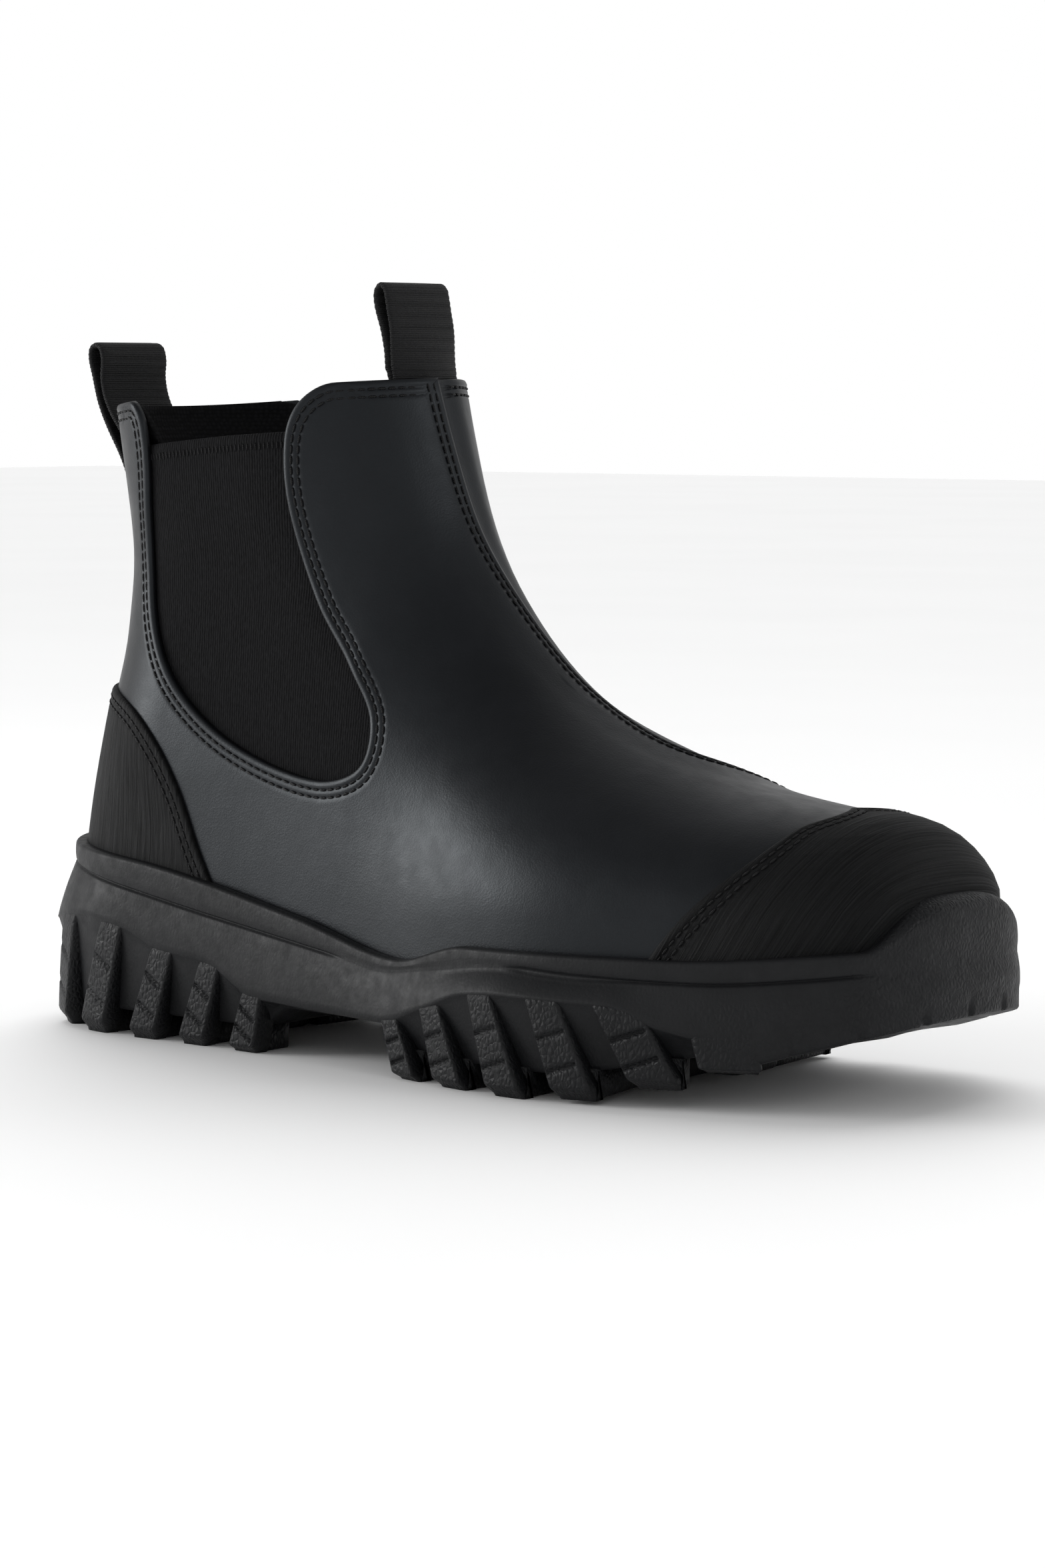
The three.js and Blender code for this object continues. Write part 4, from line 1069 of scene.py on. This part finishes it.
def on_plan(run, offset, level):
    """The point offset mm outside the plan outline, run mm round it."""
    run = np.asarray(run, float) % plan_length
    wrap = lambda values: np.interp(run, plan_run, np.concatenate([values, values[:1]]))
    x, y = wrap(plan[:, 0]), wrap(plan[:, 1])
    nx, ny = wrap(plan_normal[:, 0]), wrap(plan_normal[:, 1])
    return np.stack(np.broadcast_arrays(x + nx * offset, y + ny * offset, level), -1)


# %% Profile of the wall
groove_level = through([(-140, 47.0), (-121, 44.3), (-63.4, 34.8), (-14.8, 28.2), (0, 26.5), (20, 29), (43.1, 31.7),
                        (66.1, 30.8), (94.7, 30.9), (118.8, 32.7), (136.5, 35.5)])
lateral_flare = through([(-134, 7.4), (-120, 3.6), (-95, 0.8), (-60, 0.5), (0, 1.8), (50, 4.2), (95, 2),
                         (140, 0.4)])
medial_flare = through([(-134, 7.4), (-120, 3.6), (-95, 0.8), (-60, 0.5), (0, 1), (60, 1), (95, 1), (140, 0.4)])
LIP_WIDTH, BUMPER_THICK, BUMPER_RISE, RECESS_SET = 3.6, 2.0, 12.0, 4.5
station_x = np.clip(plan[:, 0], HEEL_X, TOE_X)


def loop_of(values):
    return np.concatenate([values, values[:1]])


def bumper(x):
    return ramp(128.5, 138.5, x)


flare = np.where(plan_side < 0, lateral_flare(station_x), medial_flare(station_x))
lip_out = LIP_WIDTH + BUMPER_THICK * ramp(118, 132, station_x)
wall_out = lip_out + flare
toe_solid = ramp(94, 108, station_x)
recess_out = wall_out - RECESS_SET * (1 - toe_solid) * mix(0.35, 1.0, ramp(-138, -126, station_x))
lip_level = lip_top(station_x) + BUMPER_RISE * bumper(station_x)
groove_z = groove_level(station_x)
recess_z = recess_top(station_x)
ground_z = spring(station_x)
tread_z = mix(tread(station_x), ground_z + 0.9, toe_solid)
cup_floor = tread(station_x) + 4.5
fore_groove = ramp(43, 50, station_x) * (1 - ramp(126, 131, station_x))
groove_cut = 0.85 * np.maximum(1 - ramp(-24, -14, station_x), fore_groove)
notch = toe_solid * np.clip(np.sin(plan_run[:-1] * 2 * math.pi / 15.0) * 9 - 8.0, 0, 1)
wall_low = np.minimum(np.maximum(recess_z + 1.0, tread_z + 1.4), groove_z - 3.2)
half_groove = 0.26 + 0.4 * ramp(43, 52, station_x) * (1 - ramp(60, 84, station_x))
inner = np.full(STATIONS, -0.9) - 2.2 * bumper(station_x)
edge = mix(1.2, 5.2, bumper(station_x))
profile = [(inner - 5.5, groove_z - 2.5), (inner - 0.4, groove_z - 1.5), (inner, lip_level - edge * 1.6),
           (inner + 0.5, lip_level - 0.45), (mix(inner, lip_out - edge, 0.55), lip_level)]
for part in (0, 0.17, 0.34, 0.5, 0.66, 0.83, 1.0):
    angle = part * math.pi / 2
    profile.append((lip_out - edge * (1 - math.sin(angle)), lip_level - edge * (1 - math.cos(angle))))
band_low = groove_z + half_groove + 0.55
for part in (0.33, 0.66):
    profile.append((lip_out + 0.12 * math.sin(math.pi * part), mix(lip_level - edge, band_low, part)))
profile += [(lip_out, band_low), (lip_out - 0.25 * np.minimum(groove_cut, 1), groove_z + half_groove + 0.12),
            (lip_out - groove_cut, groove_z + half_groove * 0.55),
            (lip_out - groove_cut, groove_z - half_groove * 0.55),
            (lip_out - 0.2 * np.minimum(groove_cut, 1), groove_z - half_groove - 0.12),
            (lip_out + 0.12, groove_z - half_groove - 0.6)]
for part in (0.12, 0.25, 0.4, 0.55, 0.7, 0.85):
    swell = 0.35 * math.sin(math.pi * part)
    profile.append((mix(lip_out, wall_out, part) + swell + 0.1,
                    mix(groove_z - half_groove - 0.6, wall_low, part)))
floor_low = tread_z + mix(1.3, 0.9, toe_solid)
profile += [(wall_out, wall_low), (wall_out - 0.3 * (1 - toe_solid), wall_low - 0.35)]
for part in (0.12, 0.3, 0.5, 0.7, 0.85, 1.0):
    scoop = mix(wall_out - 0.3 * (1 - toe_solid), recess_out, part ** 0.8) - 1.1 * notch * part
    profile.append((scoop, mix(wall_low - 0.35, floor_low, part)))
profile += [(recess_out - 0.35 - 1.2 * notch, tread_z + 0.3), (recess_out - 1.2 - 1.2 * notch, tread_z),
            (recess_out - 7.0, tread_z), (recess_out - 13.0, tread_z)]
rings_made = [on_plan(plan_run[:-1], offset, level) for offset, level in profile]
spine_x = np.clip(station_x, -108, 104)
spine = np.column_stack([spine_x, ridge_y(spine_x)])
under = rings_made[-1]
for part in (0.5, 0.999):
    flat = mix(under[:, :2], spine, part)
    bottom_z = mix(tread(flat[:, 0]), spring(flat[:, 0]) + 0.9, ramp(94, 108, flat[:, 0]))
    rings_made.append(np.column_stack([flat, bottom_z]))
cup = [np.column_stack([on_plan(plan_run[:-1], -8.5, 0)[:, :2], groove_z - 3.5]),
       np.column_stack([on_plan(plan_run[:-1], -9.5, 0)[:, :2], cup_floor])]
for part in (0.5, 0.999):
    flat = mix(cup[1][:, :2], spine, part)
    cup.append(np.column_stack([flat, tread(flat[:, 0]) + 4.5]))
loft = cup[::-1] + rings_made
points = np.vstack(loft)
faces = tube(len(loft), STATIONS)
toe_grain, low_grain = 0.85 * ramp(122, 134, station_x), 0.5 * ramp(92, 108, station_x)
grain = np.concatenate([np.clip(toe_grain + 0.12 + low_grain * (ring[:, 2] < groove_z - 4), 0, 1)
                        for ring in loft])


def close_spine(row, inward):
    """Closes the slit along the sole's middle by sewing its two banks together."""
    start = row * STATIONS
    toe = int(np.argmax(plan[:, 0]))
    lateral = [start + i for i in range(0, toe + 1)]
    medial = [start + (STATIONS - i * (STATIONS - toe) // max(toe, 1)) % STATIONS for i in range(toe + 1)]
    out = []
    for a, b, c, d in zip(lateral[:-1], lateral[1:], medial[1:], medial[:-1]):
        loop = []
        for v in (a, b, c, d):
            if v not in loop:
                loop.append(v)
        if len(loop) > 2:
            out.append(tuple(loop[::-1] if inward else loop))
    return out


slit = close_spine(0, False), close_spine(len(loft) - 1, True)
print("sole rings", len(loft), "slit faces", len(slit[0]), len(slit[1]))

# %% Lugs
run_at = {side: (lambda chosen: lambda x: np.interp(x, *chosen))(
    (plan[plan_side == side][np.argsort(plan[plan_side == side, 0]), 0],
     plan_run[:-1][plan_side == side][np.argsort(plan[plan_side == side, 0])])) for side in (-1, 1)}
LUG_SECTION, LUG_GRAIN, BLOCK_GRAIN = 21, 0.9, 0.3
BLOCK_CORNERS = 32


def profile_value(run, values):
    return np.interp(np.asarray(run) % plan_length, plan_run, loop_of(values))


def lug(low_x, high_x, low_wide, high_wide, reach, side, slant, lift=0.0):
    """A side lug: its foot is centred at low_x on the ground and its top at high_x in the wall.

    slant leans its two sipes, and a lug with lift clears the ground and has none.
    """
    foot, head = run_at[side](low_x), run_at[side](high_x)
    around_way = 1 if side < 0 else -1
    top = float(profile_value(head, wall_low)) + 2.2
    ground = float(spring(low_x)) + lift
    floor_z = float(profile_value(foot, tread_z))
    heights = np.concatenate([np.linspace(1.0, 0.05, 42), [0.022, 0.0]])
    rows = []
    edges = [(-1, 0.0), (-1, 0.72), (-0.985, 0.86), (-0.94, 0.95), (-0.86, 0.99)]
    inner_columns = [(u, 1.0) for u in np.linspace(-0.76, 0.76, LUG_SECTION - 2)]
    section = edges + inner_columns + [(-u, e) for u, e in edges[::-1]]
    for k, h in enumerate(heights):
        z = mix(ground, top, h)
        centre = mix(foot, head, h)
        wide = mix(low_wide, high_wide, h) / 2 * (1 - 0.16 * (1 - ramp(0.0, 0.14, h)))
        fade = ramp(0.86, 1.0, h)
        row = []
        for u, e in section:
            run = centre + around_way * u * wide
            wall = profile_value(run, wall_out) + 0.08 - 0.9 * fade
            chamfer = 2.4 * (1 - ramp(0.0, 0.12, h))
            slope = profile_value(run, lip_out)
            level = profile_value(run, wall_low)
            blend = np.clip((z - level) / max(float(profile_value(run, groove_z)) - level, 1), 0, 1)
            wall = mix(wall, slope, blend)
            sunk = profile_value(run, recess_out) - 1.6
            cut = 0.0
            for middle in () if lift else (0.3, 0.6):
                away_from = abs((h - middle) * (top - ground) - slant * u * wide)
                cut = max(cut, math.exp(-(away_from / 0.42) ** 2) * (abs(u + 0.1) < 0.8))
            row.append(on_plan(run, sunk + (wall - chamfer - sunk) * (e - 0.22 * cut * (e > 0.9)), z))
        rows.append(row)
    for inward in np.linspace(0, reach, 7):
        row = []
        for u, e in section:
            run = foot + around_way * u * low_wide / 2 * (0.84 - 0.2 * inward / reach)
            outer = profile_value(run, wall_out) - 2.4
            row.append(on_plan(run, outer - 1.2 - inward * 0.97, mix(floor_z + 1.2, ground + 0.02, e)))
        rows.append(row)
    closing = []
    for u, e in section:
        run = foot + around_way * u * low_wide / 2 * 0.6
        offset = float(profile_value(foot, wall_out)) - 3.6 - reach * 0.97 - 1.5 * (1 - e)
        closing.append(on_plan(run, offset, floor_z + 1.2))
    rows.append(closing)
    p = np.array(rows).reshape(-1, 3)
    f = tube(len(rows), len(section)) + lids(len(rows), len(section))
    return p, outward_faces(p, f), np.full(len(p), LUG_GRAIN)


def tread_block(x, y, length, width, ground, floor_level):
    """A low rounded block in the middle of the tread."""
    rows = []
    for scale, z in ((0.86, ground), (0.95, ground + 0.35), (1.0, ground + 1.1), (1.03, floor_level + 1.5)):
        angle = np.linspace(0, 2 * math.pi, BLOCK_CORNERS, endpoint=False)
        c, s = np.cos(angle), np.sin(angle)
        rows.append(np.column_stack([x + scale * length / 2 * np.sign(c) * np.abs(c) ** 0.35,
                                     y + scale * width / 2 * np.sign(s) * np.abs(s) ** 0.35,
                                     np.full(BLOCK_CORNERS, z)]))
    p = np.vstack(rows)
    f = tube(len(rows), BLOCK_CORNERS) + lids(len(rows), BLOCK_CORNERS)
    return p, outward_faces(p, f), np.full(len(p), BLOCK_GRAIN)


# Each lug is low_x, high_x, low_wide, high_wide and reach. The ones nearest the toe are lifted off the ground.
HEEL_LUGS = [(-125.0, -118.0, 9.5, 8.0, 22), (-109.5, -100.5, 10.0, 8.0, 24), (-91.3, -82.0, 10.0, 8.0, 24),
             (-73.0, -64.5, 9.8, 7.8, 24), (-54.0, -49.0, 10.0, 7.4, 12)]
FORE_LUGS = [(11.5, 4.5, 9.5, 6.5, 24), (28.5, 20.5, 11.0, 8.0, 29), (47.5, 38.5, 11.0, 8.0, 29),
             (66.5, 57.0, 11.4, 9.0, 29)]
BALL_LUG, TOE_LUG = (87.0, 76.0, 13.0, 13.0, 8), (104.0, 102.0, 15.0, 16.0, 8)
LIFTED_LUGS = {-1: [(BALL_LUG, 0.0), (TOE_LUG, 0.3)], 1: [(BALL_LUG, 4.2)]}
HEEL_SLANT, FORE_SLANT = -0.55, 0.3
TREAD_BLOCKS = [(-96, 16), (-78, 20), (22, 20), (40, 20), (58, 20), (77, 20)]  # x and width
BLOCK_LENGTH = 10
shells = [(points, faces + list(slit[0]) + list(slit[1]), grain)]
for side in (-1, 1):
    shells += [lug(*sizes, side, HEEL_SLANT) for sizes in HEEL_LUGS]
    shells += [lug(*sizes, side, FORE_SLANT) for sizes in FORE_LUGS]
    shells += [lug(*sizes, side, FORE_SLANT, lift) for sizes, lift in LIFTED_LUGS[side]]
for x, width in TREAD_BLOCKS:
    shells.append(tread_block(x, float(ridge_y(x)), BLOCK_LENGTH, width, float(spring(x)) + 0.02,
                              float(tread(x))))
all_points, all_faces, all_grain, start = [], [], [], 0
for shell_points, shell_faces, shell_grain in shells:
    all_points.append(shell_points)
    all_faces += [tuple(i + start for i in f) for f in shell_faces]
    all_grain.append(shell_grain)
    start += len(shell_points)
piece("outsole_rubber", np.vstack(all_points), all_faces, rubber, stands_for=["outsole"],
      attributes={"grain": np.concatenate(all_grain)})

# %% [markdown]
# ## Footbed and hidden pieces
# The footbed lies in the cup under the lining: a thin foam pad with a cloth top, dished at the heel. It is
# lofted from the same plan as the sole. Pieces sealed inside keep their CAD shape and get a finish of their
# own.

# %% Footbed
PAD_POINTS = 160
pad_runs = np.linspace(0, plan_length, PAD_POINTS, endpoint=False)
pad_rows = []
for inset, rise in ((-9.4, -0.6), (-9.0, 0.6), (-9.0, 2.6), (-9.5, 4.0), (-10.6, 4.7), (-14, 4.6), (-20, 4.2),
                    (-27, 3.9), (-33, 3.8)):
    ring = on_plan(pad_runs, inset, 0)
    ring[:, 2] = board_level(ring[:, 0]) + 1.4 + rise
    pad_rows.append(ring)
spine_x = np.clip(pad_rows[-1][:, 0], -100, 98)
pad_spine = np.column_stack([spine_x, ridge_y(spine_x)])
top_row = pad_rows[-1]
for part in (0.5, 1.0):
    flat = mix(top_row[:, :2], pad_spine, part)
    pad_rows.append(np.column_stack([flat, board_level(flat[:, 0]) + 5.1]))
bottom = []
for part in (1.0, 0.5):
    flat = mix(pad_rows[0][:, :2], pad_spine, part)
    bottom.append(np.column_stack([flat, board_level(flat[:, 0]) + 0.7]))
pad_points = np.vstack(bottom + pad_rows)
pad_faces = tube(len(bottom + pad_rows), PAD_POINTS)


def sewn_shut(points, faces, tolerance=0.01):
    """Merges points that lie on each other and drops faces that lose their area."""
    mesh = bpy.data.meshes.new("sewing_table")
    mesh.from_pydata(points.tolist(), [], faces)
    work = bmesh.new()
    work.from_mesh(mesh)
    bmesh.ops.remove_doubles(work, verts=work.verts, dist=tolerance)
    bmesh.ops.dissolve_degenerate(work, edges=work.edges, dist=tolerance)
    work.verts.index_update()
    out = np.array([v.co[:] for v in work.verts]), [tuple(v.index for v in f.verts) for f in work.faces]
    work.free()
    bpy.data.meshes.remove(mesh)
    return out


pad_points, pad_faces = sewn_shut(pad_points, pad_faces)
footbed_pad = piece("footbed_pad", pad_points, outward_faces(pad_points, pad_faces), pad_cloth,
                    stands_for=["footbed"])

# %% Finishes of the hidden pieces
for node, finish in (("midsole_foam", foam_finish), ("shank", steel_finish), ("insole_board", board_finish),
                     ("steel_toe_cap", steel_finish), ("toe_cap_edge_strip", foam_finish),
                     ("heel_counter", board_finish)):
    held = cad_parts[node]
    held.data.materials.clear()
    held.data.materials.append(finish)

# %% [markdown]
# ## Stitches
# Some three thousand stitches hold the upper together. Each is the same short bead of thread, laid end to
# end along a row, so Geometry Nodes make them. A row becomes a curve, the curve is cut at the stitch pitch,
# and a bead is set on each point, lying along the row and facing away from the leather.

# %% Stitch rows


def beside(row, distance, lift, trim=0.0):
    """A seam row distance mm inside an edge row (s, t), lift mm above the hide, as points and normals."""
    here = surface_frame(row[:, 0], row[:, 1])
    q = slide(row, here, np.cross(here[1], unit(np.gradient(here[0], axis=0))) * distance)
    p, n, _, _ = surface_frame(q[:, 0], q[:, 1])
    run = along(p)
    keep = (run >= trim) & (run <= run[-1] - trim)
    return (p + n * lift)[keep], n[keep]


def dense(row, step=1.2):
    p = surface(row[:, 0], row[:, 1])
    run = along(p)
    places = np.linspace(0, run[-1], int(run[-1] / step) + 2)
    return np.column_stack([np.interp(places, run, c) for c in row.T])


thread_rows = []
for edge_q, lift, gaps, trim in (
        (np.vstack([straight((seam_q[0, 0], 1.0), gore_q[-1][-1])[:-1], gore_q[-1][::-1],
                    straight(gore_q[-1][0], (0.0, 1.0))[1:]]), 0.0, SEAM_ROWS, 5.0),
        (seam_q[::-1], 0.8, SEAM_ROWS, 2.0),
        (np.vstack([straight((1.0, 1.0), gore_q[1][0])[:-1], gore_q[1],
                    straight(gore_q[1][-1], (seam_q[0, 0], 1.0))[1:]]), 0.0, SEAM_ROWS, 5.0),
        (toe_parts[1], 1.35, SEAM_ROWS, 1.0),
        (heel_parts[1], 1.25, SEAM_ROWS, 1.0),
        (stay_sides[0], 1.1, (2.3,), 2.0),
        (stay_sides[1][::-1], 1.1, (2.3,), 2.0)):
    for gap in gaps:
        thread_rows.append(beside(dense(edge_q), gap, lift - 0.06, trim))
elastic_rows = []
for side in (-1, 1):
    top_edge = on_side([ELASTIC_EDGE[-1], (-68, 160.4), ELASTIC_EDGE[0]], side)
    top_edge = top_edge if side < 0 else top_edge[::-1]
    elastic_rows.append(beside(dense(top_edge), 3.3, -1.93, 1.0))
print("rows of thread:", len(thread_rows), "and of elastic binding:", len(elastic_rows))

# %% The stitch tree


def stitch_tree():
    tree = bpy.data.node_groups.new("sewn_rows", "GeometryNodeTree")
    face = tree.interface
    face.new_socket("Geometry", in_out="INPUT", socket_type="NodeSocketGeometry")
    for name, value in (("Pitch", 0.003), ("Stitch Length", 0.0025), ("Thread", 0.0006), ("Turn", 0.0)):
        face.new_socket(name, in_out="INPUT", socket_type="NodeSocketFloat").default_value = value
    face.new_socket("Finish", in_out="INPUT", socket_type="NodeSocketMaterial")
    face.new_socket("Geometry", in_out="OUTPUT", socket_type="NodeSocketGeometry")
    made = {}

    def add(key, kind, **settings):
        made[key] = tree.nodes.new(kind)
        for name, value in settings.items():
            setattr(made[key], name, value)
        return made[key]

    add("in", "NodeGroupInput")
    add("out", "NodeGroupOutput")
    add("curve", "GeometryNodeMeshToCurve")
    add("cut", "GeometryNodeResampleCurve", mode="LENGTH")
    add("bead", "GeometryNodeMeshUVSphere")
    made["bead"].inputs["Segments"].default_value, made["bead"].inputs["Rings"].default_value = 8, 6
    made["bead"].inputs["Radius"].default_value = 0.5
    add("size", "ShaderNodeCombineXYZ")
    add("shape", "GeometryNodeTransform")
    add("tangent", "GeometryNodeInputTangent")
    add("up", "GeometryNodeInputNamedAttribute", data_type="FLOAT_VECTOR")
    made["up"].inputs["Name"].default_value = "up"
    add("lie", "FunctionNodeAlignRotationToVector", axis="X")
    add("face", "FunctionNodeAlignRotationToVector", axis="Z", pivot_axis="X")
    add("spin", "FunctionNodeAxisAngleToRotation")
    made["spin"].inputs["Axis"].default_value = (0, 0, 1)
    add("turned", "FunctionNodeRotateRotation", rotation_space="LOCAL")
    add("set", "GeometryNodeInstanceOnPoints")
    add("real", "GeometryNodeRealizeInstances")
    add("finish", "GeometryNodeSetMaterial")
    for a, out, b, into in (
            ("in", "Geometry", "curve", "Mesh"), ("curve", "Curve", "cut", "Curve"),
            ("in", "Pitch", "cut", "Length"), ("in", "Stitch Length", "size", 0), ("in", "Thread", "size", 1),
            ("in", "Thread", "size", 2), ("bead", "Mesh", "shape", "Geometry"), ("size", 0, "shape", "Scale"),
            ("tangent", 0, "lie", "Vector"), ("lie", 0, "face", "Rotation"),
            ("up", "Attribute", "face", "Vector"), ("in", "Turn", "spin", "Angle"),
            ("face", 0, "turned", "Rotation"), ("spin", 0, "turned", "Rotate By"),
            ("cut", "Curve", "set", "Points"), ("shape", "Geometry", "set", "Instance"),
            ("turned", 0, "set", "Rotation"), ("set", "Instances", "real", "Geometry"),
            ("real", "Geometry", "finish", "Geometry"), ("in", "Finish", "finish", "Material"),
            ("finish", "Geometry", "out", "Geometry")):
        tree.links.new(made[a].outputs[out], made[b].inputs[into])
    return tree


sewing = stitch_tree()


def sew(name, rows, slot, finish, **sizes):
    """Runs the stitch tree over rows of points and normals, and leaves a plain mesh."""
    mesh = bpy.data.meshes.new(name)
    points, edges, ups = [], [], []
    for p, n in rows:
        start = len(points)
        points += (p * MM).tolist()
        ups += n.tolist()
        edges += [(start + i, start + i + 1) for i in range(len(p) - 1)]
    mesh.from_pydata(points, edges, [])
    mesh.attributes.new("up", "FLOAT_VECTOR", "POINT").data.foreach_set(
        "vector", np.array(ups, np.float32).ravel())
    made = bpy.data.objects.new(name, mesh)
    scene.collection.objects.link(made)
    modifier = made.modifiers.new("sewing", "NODES")
    modifier.node_group = sewing
    sockets = {item.name: item.identifier for item in sewing.interface.items_tree if item.in_out == "INPUT"}
    for key, value in sizes.items():
        modifier[sockets[key.replace("_", " ").title()]] = value
    modifier[sockets["Finish"]] = finish.material
    bpy.context.view_layer.update()
    result = bpy.data.meshes.new_from_object(made.evaluated_get(bpy.context.evaluated_depsgraph_get()))
    made.modifiers.clear()
    made.data = result
    result.polygons.foreach_set("use_smooth", [True] * len(result.polygons))
    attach(made, "boot")
    print(f"{name}: {len(result.polygons)} faces")
    return made


sew("upper_stitching", thread_rows, "leather", thread, pitch=0.00275, stitch_length=0.0024, thread=0.00062)
sew("elastic_binding_stitches", elastic_rows, "elastic", thread, pitch=0.0013, stitch_length=0.0020, thread=0.00040,
    turn=math.pi / 2)
